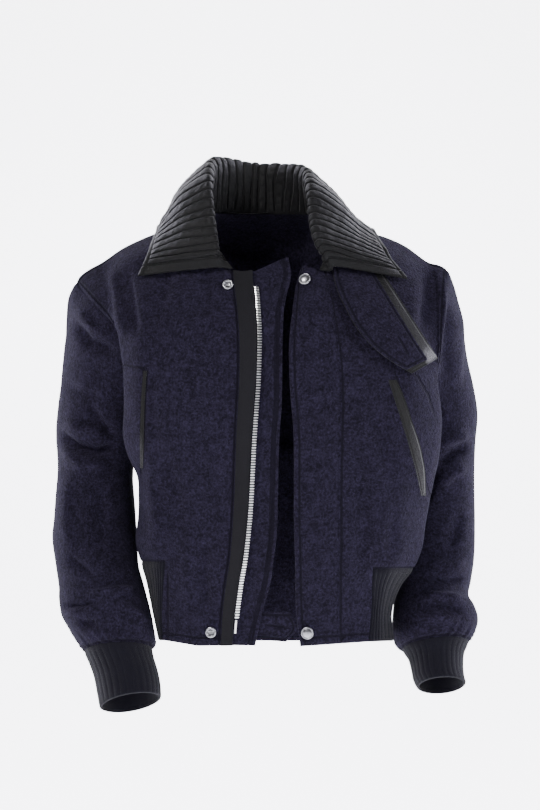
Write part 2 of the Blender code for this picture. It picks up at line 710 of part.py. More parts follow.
def collar_grid(neckline):
    """Rows of the collar from the neck seam over the roll to the outer edge."""
    at = COLLAR_STATIONS[:, 0]
    columns = COLLAR_CHANNELS * 2 + 1
    u = np.linspace(0, 1, columns)
    seam = along(neckline, columns)
    roll = bend(at, COLLAR_STATIONS[:, 1:4], u)
    edge = bend(at, COLLAR_STATIONS[:, 4:7], u)
    radius = through(at, COLLAR_STATIONS[:, 7], u)[:, None]
    puff = through(at, COLLAR_STATIONS[:, 8], u)[:, None]
    line = unit(np.gradient(roll, axis=0))
    fall = edge - roll
    fall = unit(fall - line * np.sum(fall * line, axis=1, keepdims=True))
    stand = seam - roll
    stand = unit(stand - line * np.sum(stand * line, axis=1, keepdims=True))
    proud = unit(np.cross(line, fall))
    half = np.arccos(np.clip(np.sum(fall * stand, axis=1, keepdims=True), -1, 1)) / 2
    into = fall * np.cos(half) - proud * np.sin(half)
    over = fall * np.sin(half) + proud * np.cos(half)
    middle_of_roll = roll + into * radius * np.cos(half)
    in_roll = middle_of_roll - over * radius
    out_roll = middle_of_roll + over * radius
    middle = (seam + in_roll) / 2
    first = out_roll + (edge - out_roll) * 0.34 + proud * puff
    second = out_roll + (edge - out_roll) * 0.68 + proud * puff * 0.8
    return np.stack([seam, middle, in_roll, roll, out_roll, first, second, edge])


def place(grid, row, column):
    """Point of a grid between its rows and columns, or past its edge on the same line."""
    r = int(min(max(math.floor(row), 0), grid.shape[0] - 2))
    c = int(min(max(math.floor(column), 0), grid.shape[1] - 2))
    v, u = row - r, column - c
    upper = grid[r, c] * (1 - u) + grid[r, c + 1] * u
    lower = grid[r + 1, c] * (1 - u) + grid[r + 1, c + 1] * u
    return upper * (1 - v) + lower * v


def places(grid, rows, columns):
    return np.array([[place(grid, row, column) for column in columns] for row in rows])


def row_at(grid, column, z):
    """Row of a grid where a column passes a height."""
    heights = grid[:, column, 2]
    return float(np.interp(-z, -heights, np.arange(len(heights))))


def beside(grid, normals, rows, column, step, distances, behind):
    """Points at distances past a column, away from it by one step of columns, set back from the surface."""
    points = []
    for row in rows:
        start = place(grid, row, column)
        aim = unit(start - place(grid, row, column - step))
        out = unit(place(normals, row, column))
        points.append([start + aim * distance - out * behind for distance in distances])
    return np.array(points)


def strip(name, points, normals, thickness, lift, sign, kind):
    return cloth(name, points, normals, thickness, quad_cells(points), sign, kind, lift=lift)


def touch(tree, x, z):
    """Where the panels are met from the front at a place seen there."""
    eye = Vector((VIEW_X, -VIEW_DISTANCE, VIEW_Z))
    far = Vector((x, 0.0, z))
    hit, normal, _, _ = tree.ray_cast(eye, (far - eye).normalized())
    return np.array(hit), np.array(normal)


def snap(name, tree, x, z, radius, height):
    """A domed disc lying on a panel."""
    centre, _ = touch(tree, x, z)
    spread = radius * 0.9
    east, west = touch(tree, x + spread, z)[0], touch(tree, x - spread, z)[0]
    above, below = touch(tree, x, z + spread)[0], touch(tree, x, z - spread)[0]
    across = unit(east - west)
    out = unit(np.cross(across, above - below))
    out = out if out[1] < 0 else -out
    up = np.cross(across, out)
    rim = [touch(tree, x + reach * math.cos(a), z + reach * math.sin(a))[0]
           for a in np.arange(16) * math.pi / 8 for reach in (spread * 0.4, spread, radius * 1.05)]
    base = centre + out * (max([0] + [float(np.dot(p - centre, out)) for p in rim]) + SNAP_GAP)
    angles = np.arange(SNAP_SIDES) * 2 * math.pi / SNAP_SIDES
    circle = np.cos(angles)[:, None] * across + np.sin(angles)[:, None] * up
    rings = [(radius, 0.0), (radius, height * 0.5), (radius * 0.88, height * 0.82), (radius * 0.5, height)]
    points = [base + circle[k] * r + out * h for r, h in rings for k in range(SNAP_SIDES)]
    points += [base, base + out * height]
    n, low, top = SNAP_SIDES, len(points) - 2, len(points) - 1
    faces = []
    for k in range(n):
        j = (k + 1) % n
        faces.append([low, k, j])
        faces.append([top, 3 * n + j, 3 * n + k])
        for level in range(3):
            a, b = level * n + k, level * n + j
            faces += [[a, a + n, b + n], [a, b + n, b]]
    made = add_mesh(name, points, faces, "metal")
    return turn_out(made)


def turn_out(made):
    """Turns a closed mesh so that its faces look out."""
    mesh = made.data
    mesh.calc_loop_triangles()
    volume = 0.0
    for tri in mesh.loop_triangles:
        a, b, c = (mesh.vertices[k].co for k in tri.vertices)
        volume += a.dot(b.cross(c))
    if volume < 0:
        mesh.flip_normals()
    return made


def prism(name, outline, x_low, x_high, kind, origin=(0, 0, 0), hole=None):
    """A solid of one thickness across X from an outline of (y, z) places, with a hole of as many corners."""
    n = len(outline)
    loops = [outline] if hole is None else [outline, hole]
    points = [(x, y, z) for loop in loops for x in (x_low, x_high) for y, z in loop]
    faces = []
    for k in range(n):
        j = (k + 1) % n
        faces.append([k, j, n + j, n + k])
        if hole is not None:
            a, b = 2 * n + k, 2 * n + j
            faces.append([b, a, a + n, b + n])
            faces.append([k, a, b, j])
            faces.append([n + j, b + n, a + n, n + k])
    if hole is None:
        faces.append(list(range(n))[::-1])
        faces.append([n + k for k in range(n)])
    return turn_out(add_mesh(name, points, faces, kind, origin))


def block(name, low, high, kind):
    outline = [(low[1], low[2]), (high[1], low[2]), (high[1], high[2]), (low[1], high[2])]
    return prism(name, outline, low[0], high[0], kind)


def plate(name, outline, hole, y_low, y_high, origin, kind):
    """A flat plate facing the front from an outline of (x, z) places, with a hole of as many corners."""
    n = len(outline)
    points = [(x, y, z) for loop in (outline, hole) for y in (y_low, y_high) for x, z in loop]
    faces = []
    for k in range(n):
        j = (k + 1) % n
        a, b = 2 * n + k, 2 * n + j
        faces += [[k, j, n + j, n + k], [b, a, a + n, b + n], [k, a, b, j], [n + j, b + n, a + n, n + k]]
    return turn_out(add_mesh(name, points, faces, kind, origin))


def throat_tab():
    """Rows of the throat tab's underside, and how much of each row its wool top covers."""
    shares = [0.0, 0.13, 0.27, 0.41, 0.57, 0.73, 0.86, 0.965, 1.0]
    rows, covers = [], []
    for share in shares:
        start = through(TAB_LEFT_EDGE[:, 0], TAB_LEFT_EDGE[:, 1:], [share])[0]
        end = np.array(TAB_RIGHT_TOP) + (np.array(TAB_RIGHT_FOOT) - np.array(TAB_RIGHT_TOP)) * share
        cover = 1 - 15 / np.linalg.norm(end - start)
        covers.append(cover)
        stand = through(TAB_STAND[:, 0], TAB_STAND[:, 1], share)
        row = []
        for part in (0.0, 0.25 * cover, 0.5 * cover, 0.75 * cover, cover, 1.0):
            x, z = start + (end - start) * part
            row.append((x, float(front_y("left", x, z)) - stand, z))
        rows.append(row)
    return to_true(rows), covers


def waist_tab():
    """Rows of the waist tab behind the wind guard, its pointed end showing."""
    rows = []
    for z, z_end, x_end in ((-545, -547, 41), (-567, -570, 51), (-586, -590, 35)):
        row = []
        for part in (0, 0.35, 0.7, 1.0):
            x = -22 + (x_end + 22) * part
            row.append((x, float(front_y("right", x, z)) + 7.0 + 1.5 * part, z + (z_end - z) * part))
        rows.append(row)
    return to_true(rows)


def wind_guard(grid, normals, seen):
    """Rows of the wind guard, from behind the right front out to its free edge."""
    under = WOOL + GUARD_DROP
    rows = []
    for row in range(ROWS + 1):
        hidden = [place(grid, row, c) - unit(place(normals, row, c)) * under for c in (0.9, 0.45, 0.0)]
        lift = GUARD_TOP_RISE * max(0.0, 1 - row / 3) ** 1.5
        z = seen[row, 0, 2] + lift
        x = float(through(GUARD_EDGE[:, 0], GUARD_EDGE[:, 1], z))
        free = to_true([x, float(front_y("right", x, z)) + 4.5, z])
        half = (hidden[2] + free) / 2
        rows.append([*hidden, half, free])
    return np.array(rows)


def main():
    for old in list(bpy.data.objects):
        bpy.data.objects.remove(old, do_unlink=True)

    right = front_grid("right")
    left = front_grid("left")
    back = back_grid(right, left)
    arms = {side: sleeve_grid(side) for side in ("right", "left")}
    seen_right = right
    right, left, back = to_true(right), to_true(left), to_true(back)
    arms = {side: to_true(grid) for side, grid in arms.items()}
    trunk = surface_tree([(right, quad_cells(right), 1), (left, quad_cells(left), -1), (back, quad_cells(back), 1)])
    for grid in arms.values():
        for k in range(1, len(grid)):
            grid[k, INNER_SIDE] = clear_of(grid[k, INNER_SIDE], trunk, ARM_CLEAR[min(k, 3)])

    shell = [
        (right, quad_cells(right), 1, "trunk"), (left, quad_cells(left), -1, "trunk"),
        (back, quad_cells(back), 1, "trunk"),
        (arms["right"], quad_cells(arms["right"], closed=True), -1, "arm"),
        (arms["left"], quad_cells(arms["left"], closed=True), 1, "arm"),
    ]
    (n_right, n_left, n_back, n_arm_right, n_arm_left), seams = welded_normals(shell)

    right_cells = quad_cells(right, keep=lambda r, c: r < RIB_ROW or c < RIGHT_RIB)
    flap_cells = quad_cells(left, keep=lambda r, c: c < FLAP_COLUMNS)
    left_cells = quad_cells(left, keep=lambda r, c: c >= FLAP_COLUMNS and (r < RIB_ROW or c < LEFT_RIB))
    back_cells = quad_cells(back, keep=lambda r, c: r < RIB_ROW or 3 <= c < BACK_COLUMNS - 3)
    cloth("right_front", right, n_right, WOOL, right_cells, 1, "wool", seams=seams[0])
    cloth("storm_flap", left, n_left, WOOL, flap_cells, -1, "wool", seams=seams[1])
    cloth("left_front", left, n_left, WOOL, left_cells, -1, "wool", seams=seams[1])
    cloth("back", back, n_back, WOOL, back_cells, 1, "wool", seams=seams[2])
    cloth("right_sleeve", arms["right"], n_arm_right, WOOL, shell[3][1], -1, "wool", seams=seams[3])
    cloth("left_sleeve", arms["left"], n_arm_left, WOOL, shell[4][1], 1, "wool", seams=seams[4])

    for side, sign in (("right", -1), ("left", 1)):
        cuff = to_true(cuff_grid(side))
        cells = quad_cells(cuff, closed=True)
        (normals,), (cuff_seams,) = welded_normals([(cuff, cells, sign, "cuff")])
        relief = np.zeros(cuff.shape[:2])
        relief[1:, ::2] = CUFF_RIDGE
        cloth(side + "_cuff", cuff, normals, RIB_KNIT, cells, sign, "rib_knit", relief, seams=cuff_seams)

    strips = {
        "right": (np.concatenate([right[RIB_ROW:, RIGHT_RIB:], back[RIB_ROW:, 1:4]], 1),
                  np.concatenate([n_right[RIB_ROW:, RIGHT_RIB:], n_back[RIB_ROW:, 1:4]], 1), 1),
        "left": (np.concatenate([left[RIB_ROW:, LEFT_RIB:], back[RIB_ROW:, -4:-1][:, ::-1]], 1),
                 np.concatenate([n_left[RIB_ROW:, LEFT_RIB:], n_back[RIB_ROW:, -4:-1][:, ::-1]], 1), -1),
    }
    for side, (run, normals, sign) in strips.items():
        fine = refine(run, SIDE_RIBS * 2)
        fine_normals = unit(refine(normals, SIDE_RIBS * 2))
        relief = np.zeros(fine.shape[:2])
        relief[1:, 2:-2:2] = SIDE_RIDGE
        cloth(side + "_side_rib", fine, fine_normals, WOOL, quad_cells(fine), sign, "rib_knit", relief,
              seams=fine_normals)

    panels = surface_tree([(right, right_cells, 1), (left, quad_cells(left), -1)])
    backing, covers = throat_tab()
    backing_normals = grid_normals(backing, -1)
    strip("throat_tab_backing", backing, backing_normals, NYLON, NYLON, -1, "nylon")
    top = backing[:-1, :-1].copy()
    top[:, 0] = top[:, 0] * 0.985 + top[:, 1] * 0.015
    strip("throat_tab", top, backing_normals[:-1, :-1], 2.0, NYLON + 2.4, -1, "wool")

    tab_top = backing + backing_normals * (NYLON + 2.4)
    body = [(right, right_cells, 1), (left, quad_cells(left), -1), (back, back_cells, 1),
            (tab_top, quad_cells(tab_top), -1)]
    tree = surface_tree(body)
    end = left[0, 2] * 0.4 + left[0, 3] * 0.6
    neckline = np.concatenate([right[0, 1:4], back[0, 9:12], left[0, 4:6][::-1], end[None]])
    collar = collar_grid(neckline)
    for _ in range(4):
        normals = grid_normals(collar, 1)
        under = collar - normals * COLLAR_WALL[:, None, None]
        collar = collar + (clear_of(under, tree, COLLAR_CLEAR) - under)
    normals = grid_normals(collar, 1)
    relief = np.zeros(collar.shape[:2])
    relief[1:-1, COLLAR_END_BAND + 1:-COLLAR_END_BAND - 1:2] = COLLAR_PUFF
    cloth("collar", collar, normals, COLLAR_WALL[:, None, None], quad_cells(collar), 1, "nylon", relief)

    rows = list(range(ROWS + 1))
    tape = places(right, rows, (0.02, 0.5, 1.0))
    strip("zip_tape_right", tape, unit(places(n_right, rows, (0.02, 0.5, 1.0))), TAPE, LAY_GAP + TAPE, 1, "zip_tape")
    first = row_at(right, 0, float(to_true([-10, -110, ZIP_TOP_Z])[2]))
    last = row_at(right, 0, float(to_true([-40, -118, ZIP_FOOT_Z])[2]))
    chain_rows = [first] + [r for r in rows if first + 0.2 < r < last - 0.2] + [last]
    chain = beside(right, n_right, chain_rows, 0, -1, (0.6, 0.6 + CHAIN_WIDTH), 0.0)
    strip("zip_chain_right", chain, grid_normals(chain, -1), CHAIN_DEPTH, 2.3, -1, "metal")
    pin = beside(right, n_right, [last + 0.03, last + 0.42], 0, -1, (0.5, 4.6), 0.0)
    strip("zip_pin", pin, grid_normals(pin, -1), 3.4, 2.5, -1, "metal")

    guard = wind_guard(right, n_right, seen_right)
    strip("wind_guard", guard, grid_normals(guard, -1), WOOL, 0.0, -1, "wool")
    waist = waist_tab()
    strip("waist_tab", waist, grid_normals(waist, -1), WOOL, 0.0, -1, "wool")

    seam = FLAP_COLUMNS
    tape, tape_normals = [], []
    for z in np.linspace(-60, -586, 22):
        seam_x = float(through(LEFT_BODY[:, 0], LEFT_BODY[:, 2], z))
        met = [touch(panels, seam_x + across, z) for across in (-0.7, 12.0, 25.0)]
        tape.append([hit for hit, _ in met])
        tape_normals.append([normal for _, normal in met])
    behind = np.array([LEFT_CHAIN_BEHIND - TAPE / 2, 7.0, WOOL + 1.2])
    tape = np.array(tape) - np.array(tape_normals) * behind[:, None]
    strip("zip_tape_left", tape, grid_normals(tape, -1), TAPE, 0.0, -1, "zip_tape")
    slider_z = float(to_true([SLIDER_X, -115, SLIDER_Z])[2])
    first = row_at(left, seam, float(to_true([100, -110, ZIP_TOP_Z])[2]))
    last = row_at(left, seam, slider_z + 7.0)
    chain_rows = [first] + [r for r in rows if first + 0.2 < r < last - 0.2] + [last]
    chain = beside(left, n_left, chain_rows, seam, 1, (-1.4 - CHAIN_WIDTH, -1.4), LEFT_CHAIN_BEHIND)
    strip("zip_chain_left", chain, grid_normals(chain, -1), CHAIN_DEPTH, CHAIN_DEPTH / 2, -1, "metal")

    middle = beside(left, n_left, [row_at(left, seam, slider_z)], seam, 1, (-6.8,), LEFT_CHAIN_BEHIND)[0, 0]
    x, y, z = middle
    block("zip_slider", (x - 5.4, y - 3.5, z - 6.5), (x + 5.4, y + 3.5, z + 6.5), "metal")
    block("zip_box", (x - 4.6, y - 2.6, z - 16.5), (x + 4.6, y + 2.6, z - 6.9), "metal")
    front = y - 3.8
    arch = [(front, z + 5.6), (front - 4.4, z + 4.8), (front - 4.4, z - 4.8), (front, z - 5.6),
            (front, z - 4.2), (front - 3.0, z - 3.6), (front - 3.0, z + 3.6), (front, z + 4.2)]
    prism("zip_bridge", arch, x - 1.2, x + 1.2, "metal")
    hinge = (x, front - 1.5, z + 2.2)
    outline = [(x - 3.6, z + 2.8), (x + 3.6, z + 2.8), (x + 3.6, z - 22.0), (x - 3.6, z - 22.0)]
    hole = [(x - 2.0, z + 1.6), (x + 2.0, z + 1.6), (x + 2.0, z - 8.2), (x - 2.0, z - 8.2)]
    plate("pull_tab", outline, hole, hinge[1] - 0.6, hinge[1] + 0.6, hinge, "metal")

    for side, sign, normal_sign in (("right", 1, 1), ("left", -1, -1)):
        table = POCKET_STRIPS[side]
        heights = np.linspace(table[0, 0], table[-1, 0], 15)
        rows_of = []
        for z in heights:
            low, high = through(table[:, 0], table[:, 1], z), through(table[:, 0], table[:, 2], z)
            rows_of.append([touch(panels, low + (high - low) * u, z)[0] for u in (0, 0.25, 0.5, 0.75, 1)])
        lay = np.array(rows_of)
        strip(side + "_pocket_strip", lay, grid_normals(lay, normal_sign), NYLON, STRIP_LIFT + NYLON, sign, "nylon")

    for name, side, x, z, radius, height in SNAPS:
        snap(name, panels, x, z, radius, height)


main()
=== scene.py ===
"""Looks of the flight jacket: cloth, ribs, quilting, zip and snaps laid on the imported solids.

The shapes come from the same named sizes as the solids, in millimetres until a mesh is made. X runs
to the wearer's left, Y to the back, Z up. Tables hold places as the front view shows them.
"""
import json
import math

import bmesh
import bpy
import numpy as np
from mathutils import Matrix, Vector
from mathutils.bvhtree import BVHTree

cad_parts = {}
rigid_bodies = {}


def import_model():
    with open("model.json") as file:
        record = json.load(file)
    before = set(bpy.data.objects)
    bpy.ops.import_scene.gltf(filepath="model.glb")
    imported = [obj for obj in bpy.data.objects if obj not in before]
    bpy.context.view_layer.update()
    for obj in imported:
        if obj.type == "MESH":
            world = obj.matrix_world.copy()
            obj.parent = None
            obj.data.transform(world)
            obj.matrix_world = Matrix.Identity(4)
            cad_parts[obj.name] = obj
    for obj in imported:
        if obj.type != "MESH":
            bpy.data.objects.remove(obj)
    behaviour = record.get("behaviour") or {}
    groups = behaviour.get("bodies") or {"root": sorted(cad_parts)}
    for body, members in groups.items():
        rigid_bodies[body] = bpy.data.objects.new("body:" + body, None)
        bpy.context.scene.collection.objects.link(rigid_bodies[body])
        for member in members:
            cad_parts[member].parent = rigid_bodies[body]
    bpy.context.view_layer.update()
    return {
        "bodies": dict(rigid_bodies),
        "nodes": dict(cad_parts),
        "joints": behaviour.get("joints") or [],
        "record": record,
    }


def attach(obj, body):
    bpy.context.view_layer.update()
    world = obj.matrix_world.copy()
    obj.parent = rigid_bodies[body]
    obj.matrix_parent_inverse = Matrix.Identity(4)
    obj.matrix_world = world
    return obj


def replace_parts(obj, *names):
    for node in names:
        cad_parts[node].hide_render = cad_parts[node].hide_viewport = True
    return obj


MM = 0.001
VIEW_DISTANCE = 3300.0
VIEW_X = 11.6
VIEW_Z = -246.5

WOOL = 2.2
RIB_KNIT = 2.4
TAPE = 0.8
NYLON = 1.0
LAY_GAP = 0.4

ARMHOLE_ROWS = 10
SIDE_ROWS = 7
HEM_STEPS = (0.25, 0.6, 1.0)
ROWS = ARMHOLE_ROWS + SIDE_ROWS + len(HEM_STEPS)
RIB_ROW = ARMHOLE_ROWS + SIDE_ROWS
BACK_COLUMNS = 20
ARM_COLUMNS = 20
RETURN_COLUMNS = 3

HEM_Z = -588
RIB_TOP_Z = {"right": -474.0, "left": -484.0}
BACK_RIB_CELLS = 3

FRONT_MIDDLE = 20.0
SHOULDER_Y = 6.0
FRONT_REACH = 190.0
BACK_REACH = 115.0
SECTION_POWER = 2.6

# The shoulder line, seen from the front.
SHOULDER = np.array([
    # x,    z
    (-271, -70), (-229, -36), (-194, -13), (-154, 4), (-85, 32), (0, 50),
    (92, 28), (157, 4), (188, -4), (220, -22), (246, -41), (270, -51),
], float)

FRONT_DEPTH = np.array([
    # z,   y of the chest at its fullest
    (-51, -108), (-100, -122), (-150, -130), (-200, -134), (-260, -136), (-330, -134),
    (-400, -131), (-474, -128), (-530, -122), (-590, -118),
], float)

BACK_DEPTH = np.array([
    # z,   y of the back at its fullest
    (-50, 118), (-150, 127), (-250, 128), (-350, 122), (-430, 120), (-480, 112), (-530, 104), (-590, 102),
], float)

# Half of the body at each height. edge is the front edge, rib the line down to the rib's front edge,
# ridge the outline of the chest, and side the side seam.
RIGHT_BODY = np.array([
    # z,  edge,  rib, ridge, ridge y, side, side y
    (-36, -13, -175, -232, -20, -174, 8),
    (-60, -13, -172, -220, -50, -174, 8),
    (-80, -11, -168, -213, -68, -174, 8),
    (-104, -9, -163, -209, -80, -174, 8),
    (-149, -7, -158, -206, -90, -174, 8),
    (-200, -8, -155, -200, -90, -174, 8),
    (-258, -12, -153, -201, -86, -174, 8),
    (-302, -15, -151, -202, -80, -168, 12),
    (-344, -17, -148, -181, -74, -166, 14),
    (-400, -20, -146, -179, -66, -167, 14),
    (-442, -24, -143, -183, -60, -172, 14),
    (-474, -28, -141, -175, -55, -168, 14),
    (-508, -34, -143, -165, -52, -158, 13),
    (-545, -39, -145, -158, -50, -150, 12),
    (-592, -43, -144, -148, -48, -140, 10),
], float)
RIGHT_RIDGE = 8
RIGHT_RIB = 6
RIGHT_TOP = (-13, -42, -64, -85, -118, -147, -175, -204, -232)
RIGHT_NECK_Z = (-51, -51, -22, 32)

LEFT_BODY = np.array([
    # z, edge, seam, rib, ridge, ridge y, side, side y
    (-36, 56, 87, 178, 240, -15, 205, 8),
    (-51, 51, 90, 178, 243, -35, 205, 8),
    (-75, 45, 96, 178, 247, -52, 205, 8),
    (-104, 42, 101, 177, 249, -62, 205, 8),
    (-161, 38, 109, 176, 251, -72, 205, 8),
    (-203, 39, 112, 175, 253, -74, 205, 8),
    (-245, 42, 113, 174, 259, -70, 205, 8),
    (-265, 44, 112, 173, 261, -66, 205, 8),
    (-312, 46, 111, 171, 258, -64, 195, 12),
    (-370, 46, 110, 168, 246, -62, 190, 14),
    (-413, 46, 110, 166, 238, -58, 190, 14),
    (-454, 47, 110, 163, 232, -54, 191, 14),
    (-484, 48, 109, 161, 220, -50, 186, 14),
    (-500, 48, 109, 160, 207, -47, 179, 13),
    (-529, 49, 109, 159, 190, -45, 171, 12),
    (-558, 50, 109, 158, 187, -45, 168, 10),
    (-592, 55, 109, 154, 191, -45, 168, 10),
], float)
LEFT_RIDGE = 10
LEFT_RIB = 8
FLAP_COLUMNS = 3
LEFT_TOP = (54, 61, 74, 90, 93, 94, 122, 150, 178, 209, 240)
LEFT_NECK_Z = (-53, -44, -48, -52, -18, 27)

# How far the storm flap's free edge curls back, by height.
FLAP_CURL = np.array([
    # z, curl
    (-40, 17), (-75, 13), (-110, 7), (-200, 3), (-450, 3), (-560, 6), (-600, 8),
], float)

# Free edge of the wind guard, which stands out from behind the right half of the zip.
GUARD_EDGE = np.array([
    # z,  x
    (-30, 38), (-50, 43), (-80, 37), (-109, 32), (-152, 30), (-240, 29), (-297, 25), (-384, 23), (-428, 22),
    (-471, 17), (-523, 9), (-558, -3), (-596, -10),
], float)
GUARD_TOP_RISE = 20.0
GUARD_DROP = 0.9

# The throat tab hangs from under the collar, over the left chest.
TAB_LEFT_EDGE = np.array([
    # share down, x, z
    (0.0, 99, -34), (0.13, 103, -56), (0.27, 109, -80), (0.41, 120, -104), (0.57, 136, -133),
    (0.73, 159, -161), (0.86, 184, -181), (1.0, 217, -201),
], float)
TAB_RIGHT_TOP = (166, -40)
TAB_RIGHT_FOOT = (255, -179)
TAB_STAND = np.array([
    # share down, height of its underside over the chest
    (0.0, 1.2), (0.15, 3.0), (0.4, 8.0), (0.7, 11.0), (1.0, 10.0),
], float)

# Pocket strips, seen from the front: front and rear edge at each height.
POCKET_STRIPS = {
    "right": np.array([(-197, -167, -172), (-245, -170, -175.5), (-302, -171.5, -177),
                       (-338, -172.5, -176.5)], float),
    "left": np.array([(-210, 183, 195), (-232, 190, 205), (-268, 201.5, 217), (-312, 214.5, 231),
                      (-345, 223.5, 236.5), (-378, 230.5, 237.5)], float),
}

ZIP_TOP_Z = -76.0
ZIP_FOOT_Z = -557.0
CHAIN_WIDTH = 4.8
CHAIN_DEPTH = 3.0
LEFT_CHAIN_BEHIND = 13.0
SLIDER_X = 104.0
SLIDER_Z = -547.0

SNAP_GAP = 0.8
# Snaps: name, panel, x, z, radius, height.
SNAPS = (
    ("snap_cap_top", "left", 62.5, -65.0, 8.8, 2.6),
    ("snap_cap_hem", "left", 66.0, -577.0, 8.8, 2.6),
    ("snap_socket_top", "right", -49.5, -72.5, 7.8, 2.2),
    ("snap_socket_hem", "right", -74.0, -576.0, 7.8, 2.2),
)

# Armholes, from the shoulder tip down the front to the armpit, and down the back.
ARMHOLE_FRONT = {
    "right": [(-271, 0, -70), (-245, -42, -100), (-212, -62, -137), (-190, -58, -190), (-177, -30, -238),
              (-174, 8, -258)],
    "left": [(270, 0, -51), (267, -38, -85), (264, -58, -140), (255, -58, -200), (232, -34, -248),
             (205, 8, -265)],
}
ARMHOLE_BACK = {
    "right": [(-271, 0, -70), (-255, 32, -85), (-226, 62, -125), (-197, 72, -190), (-181, 45, -240),
              (-174, 8, -258)],
    "left": [(270, 0, -51), (260, 33, -70), (238, 64, -120), (216, 75, -190), (205, 48, -245),
             (205, 8, -265)],
}

# Sleeve rings below the armhole. out and in are the ring's outline seen from the front.
SLEEVE_RINGS = {
    "right": np.array([
        # out x, out z, in x, in z, middle y, half depth, pitch in degrees
        (-271, -70, -174, -258, 5, 68, 0),
        (-281, -92, -176, -270, 8, 64, 0),
        (-285, -125, -180, -284, 11, 62, 0),
        (-287, -165, -183, -300, 14, 60, 0),
        (-291, -210, -186, -320, 17, 59, 0),
        (-296, -252, -187, -338, 20, 58, 0),
        (-299, -290, -187, -356, 21, 57, 0),
        (-297, -322, -185, -376, 20, 56, 2),
        (-298, -365, -183, -402, 15, 56, 6),
        (-301, -410, -182, -430, 6, 55, 10),
        (-304, -438, -181, -454, -4, 54, 13),
        (-299, -474, -179, -480, -16, 53, 15),
        (-294, -508, -173, -502, -27, 51, 16),
        (-294, -528, -168, -520, -34, 50, 16),
        (-291, -550, -161, -542, -41, 51, 16),
        (-283, -566, -155, -568, -47, 50, 16),
        (-272, -585, -154, -590, -52, 48, 16),
        (-258, -604, -159, -600, -56, 44, 16),
    ], float),
    "left": np.array([
        (270, -51, 205, -265, 6, 68, 0),
        (279, -75, 205, -279, 11, 66, 0),
        (286, -105, 203, -292, 17, 63, 0),
        (291, -140, 200, -306, 24, 61, 0),
        (298, -180, 198, -322, 30, 59, 0),
        (308, -222, 196, -340, 36, 58, 0),
        (313, -258, 194, -358, 40, 57, 0),
        (310, -296, 193, -382, 43, 56, 2),
        (309, -335, 192, -406, 44, 56, 6),
        (309, -378, 192, -430, 42, 56, 10),
        (309, -420, 193, -455, 36, 55, 13),
        (307, -464, 194, -480, 27, 54, 15),
        (303, -500, 193, -505, 17, 53, 17),
        (300, -522, 192, -528, 9, 53, 17),
        (309, -538, 190, -548, 2, 54, 17),
        (314, -556, 189, -570, -4, 53, 17),
        (309, -575, 192, -590, -10, 50, 17),
        (300, -590, 203, -602, -15, 44, 17),
    ], float),
}
ARMHOLE_BLEND = 7
# Least gap between the body and the sleeve's rings under the arm, by ring.
ARM_CLEAR = (0, 3.5, 5.0, 5.5)
INNER_SIDE = slice(6, 15)

# Cuffs, from the seam down.
CUFF_RINGS = {
    "right": np.array([
        (-258, -604, -159, -600, -56, 44, 16),
        (-251, -618, -158, -612, -60, 42, 16),
        (-243, -640, -152, -632, -66, 41, 17),
        (-238, -664, -148, -652, -72, 41, 18),
        (-234, -685, -147, -671, -77, 42, 18),
    ], float),
    "left": np.array([
        (300, -590, 203, -602, -15, 44, 17),
        (293, -604, 212, -613, -20, 41, 17),
        (291, -622, 217, -630, -26, 40, 17),
        (292, -638, 220, -645, -32, 40, 18),
        (295, -650, 226, -656, -37, 40, 18),
    ], float),
}
CUFF_RIBS = 28
CUFF_RIDGE = 1.1
SIDE_RIDGE = 1.1

# The collar from its right front end round the back to its left front end. at is the share of the neckline.
COLLAR_STATIONS = np.array([
    # at, roll x, y, z, edge x, y, z, roll radius, belly
    (0.00, -62, -98, -53, -177, -72, -62, 6, 2),
    (0.09, -63, -96, -20, -166, -62, -36, 8, 5),
    (0.18, -69, -66, 28, -158, -34, -10, 9, 8),
    (0.28, -75, -25, 84, -150, 8, 5, 10, 11),
    (0.36, -72, 28, 114, -138, 82, 4, 10, 13),
    (0.49, -8, 84, 112, -10, 134, -8, 10, 8),
    (0.62, 60, 30, 102, 136, 88, 0, 10, 8),
    (0.71, 66, -22, 74, 160, 12, -3, 10, 6),
    (0.81, 68, -62, 26, 176, -38, -27, 9, 5),
    (0.91, 76, -98, -18, 193, -62, -48, 8, 3),
    (1.00, 100, -100, -55, 207, -76, -66, 6, 2),
], float)
COLLAR_CHANNELS = 42
COLLAR_PUFF = 1.8
COLLAR_CLEAR = 3.5
# Thickness of the collar from its neck seam over the roll to its outer edge.
COLLAR_WALL = np.array([2.4, 2.4, 2.4, 2.6, 3.0, 4.0, 4.0, 3.6])

STITCH_PITCH = 3.2
NO_STITCH = 50.0
KNIT_PITCH = 1.5
TOOTH_PITCH = 3.8
TOOTH_REACH = 1.25
TOPSTITCH = 7.5
HEM_STITCH = 12.0
EDGE_RADIUS = 2.0
FLAP_STITCH = 8.0
SIDE_RIB_PITCH = 5.6
COLLAR_END_BAND = 14.0
COLLAR_RIM_BAND = 8.0
BACKDROP_GLOW = 3.4
WORLD_GLOW = 0.16
FOLD_SCALE = 1.9

WOOL_DARK, WOOL_LIGHT = (0.0020, 0.0016, 0.0036), (0.0150, 0.0125, 0.0265)
KNIT_DARK, KNIT_LIGHT = (0.0008, 0.0008, 0.0016), (0.0085, 0.008, 0.015)
NYLON_DARK, NYLON_LIGHT = (0.0011, 0.0011, 0.0014), (0.0048, 0.0048, 0.0056)
TAPE_DARK, TAPE_LIGHT = (0.0025, 0.0025, 0.003), (0.011, 0.0105, 0.0135)
BAND_DARK, BAND_LIGHT = (0.002, 0.002, 0.0022), (0.0075, 0.0075, 0.008)

MATERIAL = {}

